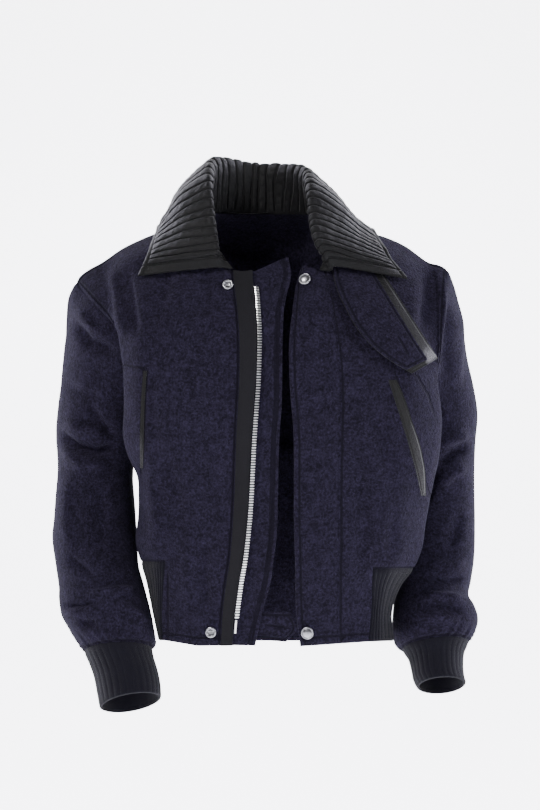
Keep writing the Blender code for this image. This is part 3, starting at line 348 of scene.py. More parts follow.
# Folds seen in the picture: places along the fold's line in picture points, width and height in mm.
RIGHT_SLEEVE_FOLDS = (
    ([(72, 318), (90, 341), (122, 353)], 7, -4.5), ([(74, 306), (95, 328), (124, 338)], 8, 3.0),
    ([(55, 428), (75, 445), (97, 450), (122, 443)], 6, -6.0), ([(62, 418), (84, 430), (110, 428)], 9, 3.5),
    ([(88, 402), (100, 422), (122, 440)], 8, -5.0), ([(58, 446), (80, 462), (112, 464)], 9, 4.0),
    ([(66, 556), (82, 566), (96, 578)], 6, -3.5), ([(84, 594), (110, 590), (140, 587)], 6, 3.5),
    ([(60, 605), (82, 606), (108, 599)], 5, -4.0), ([(58, 614), (88, 606), (120, 594)], 5, 3.0),
    ([(78, 622), (98, 622)], 5, -3.5), ([(112, 599), (132, 610), (152, 624)], 6, 3.0),
    ([(70, 250), (66, 300), (62, 350)], 12, -2.0), ([(100, 480), (104, 520), (98, 560)], 10, -2.5),
    ([(68, 470), (66, 520), (72, 560)], 11, 2.5), ([(60, 380), (80, 392), (104, 396)], 9, -2.5),
)
LEFT_SLEEVE_FOLDS = (
    ([(446, 285), (447, 330), (444, 378)], 8, -3.5), ([(458, 300), (459, 345), (456, 392)], 10, 3.0),
    ([(470, 446), (454, 454), (438, 466)], 7, -5.5), ([(440, 464), (432, 484), (427, 505)], 7, -3.5),
    ([(472, 434), (454, 440), (436, 446)], 8, 3.5), ([(470, 466), (452, 474), (438, 490)], 9, 3.5),
    ([(420, 603), (442, 606), (464, 610)], 5, -3.5), ([(418, 594), (442, 595), (468, 598)], 6, 3.0),
    ([(424, 576), (446, 580), (466, 578)], 6, -3.0), ([(424, 560), (450, 566), (470, 562)], 8, 3.0),
    ([(424, 612), (444, 617), (462, 620)], 5, 2.5), ([(432, 400), (440, 418), (452, 430)], 8, -2.5),
    ([(462, 510), (456, 534), (446, 552)], 9, -2.5), ([(426, 330), (430, 360), (436, 390)], 8, -2.0),
)
SLEEVE_BACK_FOLDS = {
    "right": (([(60, 420), (84, 440), (112, 446)], 7, -4.0), ([(58, 436), (84, 458), (114, 462)], 9, 3.5),
              ([(62, 330), (88, 350), (116, 352)], 8, -3.0), ([(64, 600), (90, 606), (116, 598)], 5, -3.5),
              ([(70, 560), (92, 572), (118, 566)], 7, -3.0)),
    "left": (([(474, 440), (452, 456), (434, 460)], 7, -4.0), ([(474, 460), (452, 474), (432, 480)], 9, 3.5),
             ([(468, 330), (448, 352), (430, 356)], 8, -3.0), ([(468, 604), (446, 610), (424, 604)], 5, -3.5),
             ([(470, 566), (448, 576), (426, 570)], 7, -3.0)),
}
RIGHT_BODY_FOLDS = (
    ([(112, 262), (118, 296), (124, 340)], 8, 4.0), ([(126, 262), (131, 296), (138, 340)], 8, -4.0),
    ([(172, 262), (164, 290), (152, 330)], 12, -2.6), ([(205, 262), (206, 284), (200, 320)], 11, -2.2),
    ([(208, 530), (205, 575), (207, 618)], 8, -2.6), ([(190, 520), (188, 570), (190, 618)], 10, 2.4),
    ([(160, 440), (176, 490), (182, 545)], 13, -2.4), ([(146, 470), (156, 510), (164, 560)], 10, 2.4),
    ([(150, 360), (152, 420), (158, 460)], 12, -1.8),
)
LEFT_BODY_FOLDS = (
    ([(430, 264), (430, 296), (424, 330)], 9, -3.2), ([(418, 270), (417, 300), (410, 340)], 10, 2.6),
    ([(346, 450), (365, 500), (362, 582)], 12, -3.0), ([(368, 440), (384, 500), (382, 560)], 12, 2.4),
    ([(392, 510), (394, 550), (388, 590)], 9, -2.4), ([(372, 400), (380, 430), (396, 470)], 12, -1.8),
)
BACK_FOLDS = (
    ([(140, 300), (152, 350), (168, 420)], 12, -3.5), ([(392, 300), (378, 350), (362, 420)], 12, -3.5),
    ([(176, 480), (182, 540), (178, 600)], 12, 3.0), ([(204, 500), (206, 560), (204, 610)], 11, -3.0),
    ([(300, 500), (296, 560), (300, 610)], 12, -3.0), ([(330, 480), (328, 540), (334, 600)], 12, 3.0),
    ([(200, 250), (260, 262), (330, 250)], 12, -2.4), ([(180, 440), (260, 456), (350, 442)], 16, -2.6),
)
# Stitched lines seen in the picture.
RIGHT_POCKET_LINES = ([(125, 365), (144, 368)], [(147, 371), (145, 404), (144, 443), (141, 475)])
RIB_FRONT_LINE = [(168, 575), (168, 640)]
LEFT_POCKET_LINES = ([(418, 377), (428, 395), (433, 410)], [(397, 377), (412, 436), (431, 500)])
BUTTONHOLE = [(398, 339), (407, 354)]
WAIST_BUTTONHOLE = [(268, 625), (283, 627)]

FRAME_HEIGHT = 1.1745
FLOOR_Z = -1.4
# Lights: name, place in metres, size in metres, power in watts, colour.
LIGHTS = (
    ("key", (-1.9, -1.9, 2.2), (1.0, 1.0), 210, (1.0, 0.98, 0.96)),
    ("fill", (2.7, -1.5, 0.9), (1.0, 1.6), 150, (0.95, 0.96, 1.0)),
    ("rim_right", (-1.9, 1.2, 0.5), (0.8, 2.4), 170, (0.86, 0.84, 1.0)),
    ("rim_left", (1.9, 1.2, 0.5), (0.8, 2.4), 170, (0.86, 0.84, 1.0)),
)


def through(keys, values, at):
    """Value at each place of a smooth curve through (key, value) rows, which never overshoots a row."""
    keys = np.asarray(keys, float)
    values = np.asarray(values, float)
    order = np.argsort(keys)
    keys, values = keys[order], values[order]
    if values.ndim == 2:
        return np.stack([through(keys, values[:, k], at) for k in range(values.shape[1])], -1)
    steps = np.diff(keys)
    rise_rate = np.diff(values) / steps
    slope = np.empty_like(values)
    slope[0], slope[-1] = rise_rate[0], rise_rate[-1]
    product = rise_rate[:-1] * rise_rate[1:]
    total = rise_rate[:-1] + rise_rate[1:]
    slope[1:-1] = np.where(product > 0, 2 * product / np.where(total == 0, 1, total), 0)
    at = np.clip(np.asarray(at, float), keys[0], keys[-1])
    cell = np.clip(np.searchsorted(keys, at, side="right") - 1, 0, len(steps) - 1)
    width = steps[cell]
    t = (at - keys[cell]) / width
    a, b = values[cell], values[cell + 1]
    return (a * (1 + 2 * t) * (1 - t) ** 2 + b * t * t * (3 - 2 * t)
            + width * (slope[cell] * t * (1 - t) ** 2 - slope[cell + 1] * t * t * (1 - t)))


def along(points, count):
    """count places at even steps along a smooth curve through the points."""
    points = np.asarray(points, float)
    chord = np.concatenate([[0], np.cumsum(np.linalg.norm(np.diff(points, axis=0), axis=1))])
    dense = bend(chord, points, np.linspace(0, chord[-1], 400))
    run = np.concatenate([[0], np.cumsum(np.linalg.norm(np.diff(dense, axis=0), axis=1))])
    even = np.linspace(0, run[-1], count)
    return np.stack([np.interp(even, run, dense[:, k]) for k in range(3)], -1)


def bend(keys, values, at):
    """Cubic curve through rows whose slope at each row is that of the line between its neighbours."""
    keys = np.asarray(keys, float)
    values = np.asarray(values, float)
    slope = np.gradient(values, keys, axis=0)
    at = np.clip(np.asarray(at, float), keys[0], keys[-1])
    cell = np.clip(np.searchsorted(keys, at, side="right") - 1, 0, len(keys) - 2)
    width = (keys[cell + 1] - keys[cell])
    t = (at - keys[cell]) / width
    if values.ndim == 2:
        t, width = t[:, None], width[:, None]
    a, b = values[cell], values[cell + 1]
    return (a * (1 + 2 * t) * (1 - t) ** 2 + b * t * t * (3 - 2 * t)
            + width * (slope[cell] * t * (1 - t) ** 2 - slope[cell + 1] * t * t * (1 - t)))


def shoulder_z(x):
    """Height of the shoulder line over x."""
    return through(SHOULDER[:, 0], SHOULDER[:, 1], x)


def rise(drop, reach):
    """Share of the full depth at a drop below the shoulder line: a quarter circle."""
    t = np.clip(np.asarray(drop, float) / reach, 0, 1)
    return np.sqrt(np.clip(1 - (1 - t) ** 2, 0, 1))


def section(x, side_x, side_y, deep_y):
    """Depth of a quarter of a rounded section, from its middle out to (side_x, side_y)."""
    t = np.clip((x - FRONT_MIDDLE) / (side_x - FRONT_MIDDLE), 0, 1)
    return side_y + (deep_y - side_y) * (1 - t ** SECTION_POWER) ** (1 / SECTION_POWER)


def front_y(side, x, z):
    """Depth of the chest at a place seen from the front, up to its ridge."""
    table, ridge = (RIGHT_BODY, 3) if side == "right" else (LEFT_BODY, 4)
    ridge_x = through(table[:, 0], table[:, ridge], z)
    ridge_y = through(table[:, 0], table[:, ridge + 1], z)
    deep = through(FRONT_DEPTH[:, 0], FRONT_DEPTH[:, 1], z)
    full = section(x, ridge_x, ridge_y, deep)
    return SHOULDER_Y + (full - SHOULDER_Y) * rise(shoulder_z(x) - z, FRONT_REACH)


def armpit_z(side):
    """Height of the armpit, the last place of the armhole."""
    return ARMHOLE_FRONT[side][-1][2]


def rib_z(side):
    """Height of the top of the side's rib."""
    return RIB_TOP_Z[side]


def hem_z(x):
    """Height of the hem over x."""
    return np.interp(x, [-170, -145, -95, -14, 40, 56, 84, 154, 200],
                     [-588, -588, -596, -595, -597, -597, -595, -590, -588])


def side_line(side, half):
    """The panel's outer boundary: half of the armhole, then the side seam down to the hem."""
    hole = ARMHOLE_FRONT[side] if half == "front" else ARMHOLE_BACK[side]
    top = along(hole, ARMHOLE_ROWS + 1)
    table = RIGHT_BODY if side == "right" else LEFT_BODY
    heights = list(np.linspace(armpit_z(side), rib_z(side), SIDE_ROWS + 1)[1:])
    heights += [rib_z(side) + (HEM_Z - rib_z(side)) * step for step in HEM_STEPS]
    heights = np.array(heights)
    low = np.stack([through(table[:, 0], table[:, -2], heights),
                    through(table[:, 0], table[:, -1], heights), heights], -1)
    return np.concatenate([top, low])


def front_grid(side):
    """Points of a front from its edge to the armhole and side seam, rows from the top down."""
    if side == "right":
        table, top_x, neck_z, ridge_column = RIGHT_BODY, RIGHT_TOP, RIGHT_NECK_Z, RIGHT_RIDGE
        guides = ((0, 1), (RIGHT_RIB, 2), (RIGHT_RIDGE, 3))
    else:
        table, top_x, neck_z, ridge_column = LEFT_BODY, LEFT_TOP, LEFT_NECK_Z, LEFT_RIDGE
        guides = ((0, 1), (FLAP_COLUMNS, 2), (LEFT_RIB, 3), (LEFT_RIDGE, 4))
    outer = side_line(side, "front")
    share = (outer[:, 2] - outer[0, 2]) / (armpit_z(side) - outer[0, 2])
    share = share * 0.4 + np.minimum(np.arange(ROWS + 1) / ARMHOLE_ROWS, 1) * 0.6
    columns = ridge_column + RETURN_COLUMNS + 1
    grid = np.zeros((ROWS + 1, columns, 3))

    def guide_x(column, z):
        places = [through(table[:, 0], table[:, k], z) for _, k in guides]
        marks = [mark for mark, _ in guides]
        for (m0, p0), (m1, p1) in zip(zip(marks, places), list(zip(marks, places))[1:]):
            if m0 <= column <= m1:
                return p0 + (p1 - p0) * (column - m0) / (m1 - m0)

    for column in range(ridge_column + 1):
        x_top = top_x[column]
        z_top = neck_z[column] if column < len(neck_z) else float(shoulder_z(x_top))
        by_armhole = np.arange(ROWS + 1) <= ARMHOLE_ROWS
        z = np.where(by_armhole, z_top + (armpit_z(side) - z_top) * share, outer[:, 2])
        foot = hem_z(guide_x(column, -590.0))
        low = np.arange(ROWS + 1) > RIB_ROW
        down_rib = (outer[:, 2] - rib_z(side)) / (HEM_Z - rib_z(side))
        z = np.where(low, rib_z(side) + (foot - rib_z(side)) * down_rib, z)
        fade = np.clip(1 - share, 0, 1) ** 2
        x = guide_x(column, z) + (x_top - guide_x(column, z_top)) * fade
        y = front_y(side, x, z)
        if side == "left" and column < FLAP_COLUMNS - 1:
            share_out = (1 - column / (FLAP_COLUMNS - 1)) ** 1.5
            y = y + through(FLAP_CURL[:, 0], FLAP_CURL[:, 1], z) * share_out
        grid[:, column] = np.stack([x, y, z], -1)

    ridge = grid[:, ridge_column]
    for step in range(1, RETURN_COLUMNS + 1):
        s = step / RETURN_COLUMNS
        column = ridge + (outer - ridge) * s
        column[:, 0] = ridge[:, 0] + (outer[:, 0] - ridge[:, 0]) * (1 - (1 - s) ** 1.7)
        grid[:, ridge_column + step] = column
    return grid


def back_grid(right, left):
    """Points of the back from the right side seam to the left, on the fronts' shoulder points."""
    sides = side_line("right", "back"), side_line("left", "back")
    grid = np.zeros((ROWS + 1, BACK_COLUMNS + 1, 3))
    neck_right, neck_left = right[0, 3], left[0, 5]
    neck = along([neck_right, (-52, 54, 32), (0, 70, 31), (56, 54, 31), neck_left], 5)
    top = np.concatenate([right[0, 3:][::-1], neck[1:-1], left[0, 5:]])
    for column in range(BACK_COLUMNS + 1):
        offset = (column - BACK_COLUMNS / 2) / (BACK_COLUMNS / 2)
        side = sides[0] if offset < 0 else sides[1]
        mix = column / BACK_COLUMNS
        pit = armpit_z("right") * (1 - mix) + armpit_z("left") * mix
        cuff_z = rib_z("right") * (1 - mix) + rib_z("left") * mix
        share = (side[:, 2] - side[0, 2]) / (side[ARMHOLE_ROWS, 2] - side[0, 2])
        z = top[column, 2] + (pit - top[column, 2]) * share
        rows = np.arange(ROWS + 1)
        z = np.where(rows > ARMHOLE_ROWS, pit + (cuff_z - pit) * (rows - ARMHOLE_ROWS) / SIDE_ROWS, z)
        low = rows > RIB_ROW
        steps = np.zeros(ROWS + 1)
        steps[RIB_ROW + 1:] = HEM_STEPS
        z = np.where(low, cuff_z + (HEM_Z - cuff_z) * steps, z)
        spread = math.sin(abs(offset) * math.pi / 2)
        even = FRONT_MIDDLE + (side[:, 0] - FRONT_MIDDLE) * spread
        fade = np.clip(1 - share, 0, 1) ** 2
        x = even + (top[column, 0] - even[0]) * fade
        deep = through(BACK_DEPTH[:, 0], BACK_DEPTH[:, 1], z)
        full = section(x, side[:, 0], side[:, 1], deep)
        y = SHOULDER_Y + (full - SHOULDER_Y) * rise(shoulder_z(x) - z, BACK_REACH)
        y = y + (top[column, 1] - y[0]) * np.clip(1 - share, 0, 1) ** 3
        grid[:, column] = np.stack([x, y, z], -1)
    for edge, side in ((0, sides[0]), (BACK_COLUMNS, sides[1])):
        miss = side - grid[:, edge]
        for column in range(BACK_COLUMNS + 1):
            near = 1 - abs(column - edge) / (BACK_COLUMNS / 2)
            if near > 0:
                grid[:, column] += miss * near ** 4
    grid[0] = top
    return grid


def ring(out_x, out_z, in_x, in_z, middle_y, depth, pitch, angles):
    """A tilted oval ring from its outer side, by the front, to its inner side and back."""
    middle = np.array([(out_x + in_x) / 2, middle_y, (out_z + in_z) / 2])
    across = np.array([(out_x - in_x) / 2, 0, (out_z - in_z) / 2])
    lean = math.radians(pitch)
    back = np.array([0, depth * math.cos(lean), -depth * math.sin(lean)])
    return middle + np.cos(angles)[:, None] * across - np.sin(angles)[:, None] * back


def sleeve_grid(side):
    """Rings of a sleeve, the first one on the armhole."""
    front = side_line(side, "front")[:ARMHOLE_ROWS + 1]
    back = side_line(side, "back")[:ARMHOLE_ROWS + 1]
    loop = np.concatenate([front, back[1:-1][::-1]])
    angles = np.arange(ARM_COLUMNS) * 2 * math.pi / ARM_COLUMNS
    rings = [ring(*row, angles) for row in SLEEVE_RINGS[side]]
    odd = loop - rings[0]
    for k in range(ARMHOLE_BLEND):
        rings[k] = rings[k] + odd * (1 - k / ARMHOLE_BLEND) ** 2
    return np.array(rings)


def cuff_grid(side):
    """Rings of a cuff, two points to each rib."""
    columns = CUFF_RIBS * 2
    angles = np.arange(columns) * 2 * math.pi / columns
    return np.array([ring(*row, angles) for row in CUFF_RINGS[side]])


def to_true(points):
    """Takes places as seen from the front to their real places at their own depth."""
    points = np.array(points, float)
    scale = 1 + points[..., 1] / VIEW_DISTANCE
    points[..., 0] = VIEW_X + (points[..., 0] - VIEW_X) * scale
    points[..., 2] = VIEW_Z + (points[..., 2] - VIEW_Z) * scale
    return points


def quad_cells(grid, closed=False, keep=None):
    """Index of each four-sided cell of a grid, as (row, column, next column)."""
    rows, columns = grid.shape[:2]
    last = columns if closed else columns - 1
    return [(r, c, (c + 1) % columns) for r in range(rows - 1) for c in range(last)
            if keep is None or keep(r, c)]


def unit(vectors):
    """The vectors with length 1."""
    return vectors / np.linalg.norm(vectors, axis=-1, keepdims=True)


def clear_of(points, tree, distance):
    """Lifts points until they stand a distance off a surface, along that surface's own normal."""
    moved = np.array(points)
    flat = moved.reshape(-1, 3)
    for k in range(len(flat)):
        place, normal, _, gap = tree.find_nearest(Vector(flat[k]))
        if place is None:
            continue
        height = (Vector(flat[k]) - place).dot(normal)
        if height < distance and gap < 60 and abs(height) > 0.7 * gap:
            flat[k] += np.array(normal) * (distance - height)
    return moved


def surface_tree(parts):
    """Search tree over the outer faces of panels."""
    points, faces = [], []
    for grid, cells, sign in parts:
        start = len(points)
        columns = grid.shape[1]
        points += [Vector(p) for p in grid.reshape(-1, 3)]
        for r, c, d in cells:
            quad = [start + r * columns + c, start + r * columns + d,
                    start + (r + 1) * columns + d, start + (r + 1) * columns + c]
            if sign < 0:
                quad.reverse()
            faces.append(quad)
    return BVHTree.FromPolygons(points, faces)


def grid_normals(grid, sign):
    """Unit normals of a grid from its own neighbours."""
    across = np.gradient(grid, axis=1)
    down = np.gradient(grid, axis=0)
    return unit(sign * np.cross(across, down))


def collar_grid(neckline):
    """Rows of the collar from the neck seam over the roll to the outer edge."""
    at = COLLAR_STATIONS[:, 0]
    columns = COLLAR_CHANNELS * 2 + 1
    u = np.linspace(0, 1, columns)
    seam = along(neckline, columns)
    roll = bend(at, COLLAR_STATIONS[:, 1:4], u)
    edge = bend(at, COLLAR_STATIONS[:, 4:7], u)
    radius = through(at, COLLAR_STATIONS[:, 7], u)[:, None]
    puff = through(at, COLLAR_STATIONS[:, 8], u)[:, None]
    line = unit(np.gradient(roll, axis=0))
    fall = edge - roll
    fall = unit(fall - line * np.sum(fall * line, axis=1, keepdims=True))
    stand = seam - roll
    stand = unit(stand - line * np.sum(stand * line, axis=1, keepdims=True))
    proud = unit(np.cross(line, fall))
    half = np.arccos(np.clip(np.sum(fall * stand, axis=1, keepdims=True), -1, 1)) / 2
    into = fall * np.cos(half) - proud * np.sin(half)
    over = fall * np.sin(half) + proud * np.cos(half)
    middle_of_roll = roll + into * radius * np.cos(half)
    in_roll = middle_of_roll - over * radius
    out_roll = middle_of_roll + over * radius
    middle = (seam + in_roll) / 2
    first = out_roll + (edge - out_roll) * 0.34 + proud * puff
    second = out_roll + (edge - out_roll) * 0.68 + proud * puff * 0.8
    return np.stack([seam, middle, in_roll, roll, out_roll, first, second, edge])


def place(grid, row, column):
    """Point of a grid between its rows and columns, or past its edge on the same line."""
    r = int(min(max(math.floor(row), 0), grid.shape[0] - 2))
    c = int(min(max(math.floor(column), 0), grid.shape[1] - 2))
    v, u = row - r, column - c
    upper = grid[r, c] * (1 - u) + grid[r, c + 1] * u
    lower = grid[r + 1, c] * (1 - u) + grid[r + 1, c + 1] * u
    return upper * (1 - v) + lower * v


def places(grid, rows, columns):
    """Grid of the points at the given shares of rows and columns."""
    return np.array([[place(grid, row, column) for column in columns] for row in rows])


def row_at(grid, column, z):
    """Row of a grid where a column passes a height."""
    heights = grid[:, column, 2]
    return float(np.interp(-z, -heights, np.arange(len(heights))))


def beside(grid, normals, rows, column, step, distances, behind):
    """Points at distances past a column, away from it by one step of columns, set back from the surface."""
    points = []
    for row in rows:
        start = place(grid, row, column)
        aim = unit(start - place(grid, row, column - step))
        out = unit(place(normals, row, column))
        points.append([start + aim * distance - out * behind for distance in distances])
    return np.array(points)


def touch(tree, x, z):
    """Where the panels are met from the front at a place seen there."""
    eye = Vector((VIEW_X, -VIEW_DISTANCE, VIEW_Z))
    far = Vector((x, 0.0, z))
    hit, normal, _, _ = tree.ray_cast(eye, (far - eye).normalized())
    return np.array(hit), np.array(normal)


def throat_tab():
    """Rows of the throat tab's underside, and how much of each row its wool top covers."""
    shares = [0.0, 0.13, 0.27, 0.41, 0.57, 0.73, 0.86, 0.965, 1.0]
    rows, covers = [], []
    for share in shares:
        start = through(TAB_LEFT_EDGE[:, 0], TAB_LEFT_EDGE[:, 1:], [share])[0]
        end = np.array(TAB_RIGHT_TOP) + (np.array(TAB_RIGHT_FOOT) - np.array(TAB_RIGHT_TOP)) * share
        cover = 1 - 15 / np.linalg.norm(end - start)
        covers.append(cover)
        stand = through(TAB_STAND[:, 0], TAB_STAND[:, 1], share)
        row = []
        for part in (0.0, 0.25 * cover, 0.5 * cover, 0.75 * cover, cover, 1.0):
            x, z = start + (end - start) * part
            row.append((x, float(front_y("left", x, z)) - stand, z))
        rows.append(row)
    return to_true(rows), covers


def waist_tab():
    """Rows of the waist tab behind the wind guard, its pointed end showing."""
    rows = []
    for z, z_end, x_end in ((-545, -547, 41), (-567, -570, 51), (-586, -590, 35)):
        row = []
        for part in (0, 0.35, 0.7, 1.0):
            x = -22 + (x_end + 22) * part
            row.append((x, float(front_y("right", x, z)) + 7.0 + 1.5 * part, z + (z_end - z) * part))
        rows.append(row)
    return to_true(rows)


def wind_guard(grid, normals, seen):
    """Rows of the wind guard, from behind the right front out to its free edge."""
    under = WOOL + GUARD_DROP
    rows = []
    for row in range(ROWS + 1):
        hidden = [place(grid, row, c) - unit(place(normals, row, c)) * under for c in (0.9, 0.45, 0.0)]
        lift = GUARD_TOP_RISE * max(0.0, 1 - row / 3) ** 1.5
        z = seen[row, 0, 2] + lift
        x = float(through(GUARD_EDGE[:, 0], GUARD_EDGE[:, 1], z))
        free = to_true([x, float(front_y("right", x, z)) + 4.5, z])
        half = (hidden[2] + free) / 2
        rows.append([*hidden, half, free])
    return np.array(rows)


def cubic(rows, at, closed=False):
    """Places on the smooth curve through rows, counted in rows.

    With p0 to p3 the four rows around and t the share between p1 and p2, the place is
    p1 + t (p2 - p0) / 2 + t^2 (2 p0 - 5 p1 + 4 p2 - p3) / 2 + t^3 (3 p1 - p0 - 3 p2 + p3) / 2.
    """
    count = len(rows)
    at = np.asarray(at, float)
    if closed:
        cell = np.floor(at).astype(int)
        p0, p1, p2, p3 = (rows[(cell + k - 1) % count] for k in range(4))
    else:
        cell = np.clip(np.floor(at).astype(int), 0, count - 2)
        padded = np.concatenate([2 * rows[:1] - rows[1:2], rows, 2 * rows[-1:] - rows[-2:-1]])
        p0, p1, p2, p3 = (padded[cell + k] for k in range(4))
    t = (at - cell).reshape((-1,) + (1,) * (rows.ndim - 1))
    return (p1 + t * (p2 - p0) / 2 + t * t * (2 * p0 - 5 * p1 + 4 * p2 - p3) / 2
            + t ** 3 * (3 * p1 - p0 - 3 * p2 + p3) / 2)


def finer(grid, rows_at, columns_at, closed=False):
    """The grid's smooth surface at other rows and columns."""
    down = cubic(grid, rows_at)
    return cubic(down.swapaxes(0, 1), columns_at, closed).swapaxes(0, 1)


def steps(cells, per_cell, first_edge=False, last_edge=False):
    """Even steps over a number of cells, closer together beside a finished edge."""
    at = list(np.arange(cells * per_cell + 1) / per_cell)
    if first_edge:
        at += [0.3 / per_cell, 0.65 / per_cell]
    if last_edge:
        at += [cells - 0.3 / per_cell, cells - 0.65 / per_cell]
    return np.array(sorted(at))


def slopes(grid, closed=False):
    """Steps across and down at each point, by central differences."""
    down = np.gradient(grid, axis=0)
    if closed:
        across = (np.roll(grid, -1, axis=1) - np.roll(grid, 1, axis=1)) / 2
    else:
        across = np.gradient(grid, axis=1)
    return across, down


def outward(grid, sign, closed=False):
    """Unit normals: the step across times the step down."""
    across, down = slopes(grid, closed)
    return unit(sign * np.cross(across, down))


def seen(points):
    """Where the front view shows true points: the opposite of to_true()."""
    scale = 1 + points[..., 1] / VIEW_DISTANCE
    across = VIEW_X + (points[..., 0] - VIEW_X) / scale
    height = VIEW_Z + (points[..., 2] - VIEW_Z) / scale
    return np.stack([across, height], -1)


def picture(line):
    """Front view millimetres of places counted in the picture's points."""
    line = np.array(line, float)
    return np.stack([(line[:, 0] - 262.0) * 1.45, (235.0 - line[:, 1]) * 1.45], -1)


def line_distance(places_seen, line):
    """Distance of each place to a line of straight parts, signed by its side, and the run along it."""
    nearest = np.full(places_seen.shape[:-1], 1e6)
    run_at = np.zeros(nearest.shape)
    run = 0.0
    for start, end in zip(line[:-1], line[1:]):
        part = end - start
        length = float(np.hypot(*part))
        offset = places_seen - start
        t = np.clip((offset @ part) / length ** 2, 0, 1)
        away = offset - t[..., None] * part
        distance = np.hypot(away[..., 0], away[..., 1])
        side = np.where(part[0] * away[..., 1] - part[1] * away[..., 0] < 0, -1.0, 1.0)
        closer = distance < np.abs(nearest)
        nearest = np.where(closer, distance * side, nearest)
        run_at = np.where(closer, run + t * length, run_at)
        run += length
    return nearest, run_at, run


def fold_height(points, normals, folds, facing):
    """Height of soft folds over a surface: a bell across each fold's line that fades at both its ends."""
    if not folds:
        return np.zeros(points.shape[:-1])
    places_seen = seen(points)
    total = np.zeros(points.shape[:-1])
    shown = np.clip(0.5 - facing * normals[..., 1] * 1.6, 0, 1)
    for line, width, height in folds:
        distance, run, length = line_distance(places_seen, picture(line))
        fade = np.clip(run / (0.3 * length), 0, 1) * np.clip((length - run) / (0.3 * length), 0, 1)
        ends = fade * fade * (3 - 2 * fade)
        lean = np.where(distance > 0, 0.75, 1.3)
        total += FOLD_SCALE * height * ends * np.exp(-(distance / (width * lean)) ** 2)
    return total * shown


def sway(points, size, seed):
    """Slow unevenness of hanging cloth: a few waves in different directions, 60 to 150 mm long."""
    spread = np.random.default_rng(seed)
    total = np.zeros(points.shape[:-1])
    for _ in range(5):
        aim = unit(spread.normal(size=3))
        wave = spread.uniform(60, 150)
        total += np.sin(points @ aim * 2 * math.pi / wave + spread.uniform(0, 6.28))
    return total * size / 5


class Panel:
    """A cloth surface: its grid, its outward sign and the folds on it."""

    def __init__(self, grid, sign, closed=False, folds=(), back_folds=(), unevenness=1.2, share=None):
        self.grid, self.sign, self.closed = grid, sign, closed
        self.folds, self.back_folds = folds, back_folds
        self.unevenness, self.share = unevenness, share

    def at(self, rows_at, columns_at):
        """Points and normals of the folded surface."""
        points = finer(self.grid, rows_at, columns_at, self.closed)
        normals = outward(points, self.sign, self.closed)
        height = fold_height(points, normals, self.folds, 1)
        height += fold_height(points, normals, self.back_folds, -1)
        height += sway(points, self.unevenness, 7)
        if self.share:
            height *= self.share(np.asarray(rows_at)[:, None], np.asarray(columns_at)[None, :])
        points = points + normals * height[..., None]
        return points, outward(points, self.sign, self.closed)


def ease(distance, reach=1.0):
    """0 at a seam, growing to 1 over a number of cells, so that the panels on both its sides meet."""
    t = np.clip(distance / reach, 0, 1)
    return t * t * (3 - 2 * t)


def gone(points, axis, from_end=False):
    """Length in mm from the first (or last) row or column to each point."""
    part = np.linalg.norm(np.diff(points, axis=axis), axis=-1)
    shape = list(points.shape[:-1])
    shape[axis] = 1
    run = np.concatenate([np.zeros(shape), np.cumsum(part, axis=axis)], axis=axis)
    if from_end:
        last = run[:, -1:] if axis == 1 else run[-1:]
        run = last - run
    return run


def soft_edge(distance, radius):
    """Drop of a rounded edge at a distance from it: a quarter circle."""
    inside = np.clip(1 - distance / radius, 0, 1)
    return radius * (1 - np.sqrt(np.clip(1 - inside ** 2, 0, 1)))


def nearest_of(lines):
    """Distance and run of the nearest stitch line at each point."""
    best, run = lines[0]
    for other, other_run in lines[1:]:
        closer = np.abs(other) < np.abs(best)
        best, run = np.where(closer, other, best), np.where(closer, other_run, run)
    return best, run


def widen(values):
    """Repeats the first column after the last, for a closed grid."""
    return np.concatenate([values, values[:, :1]], axis=1)


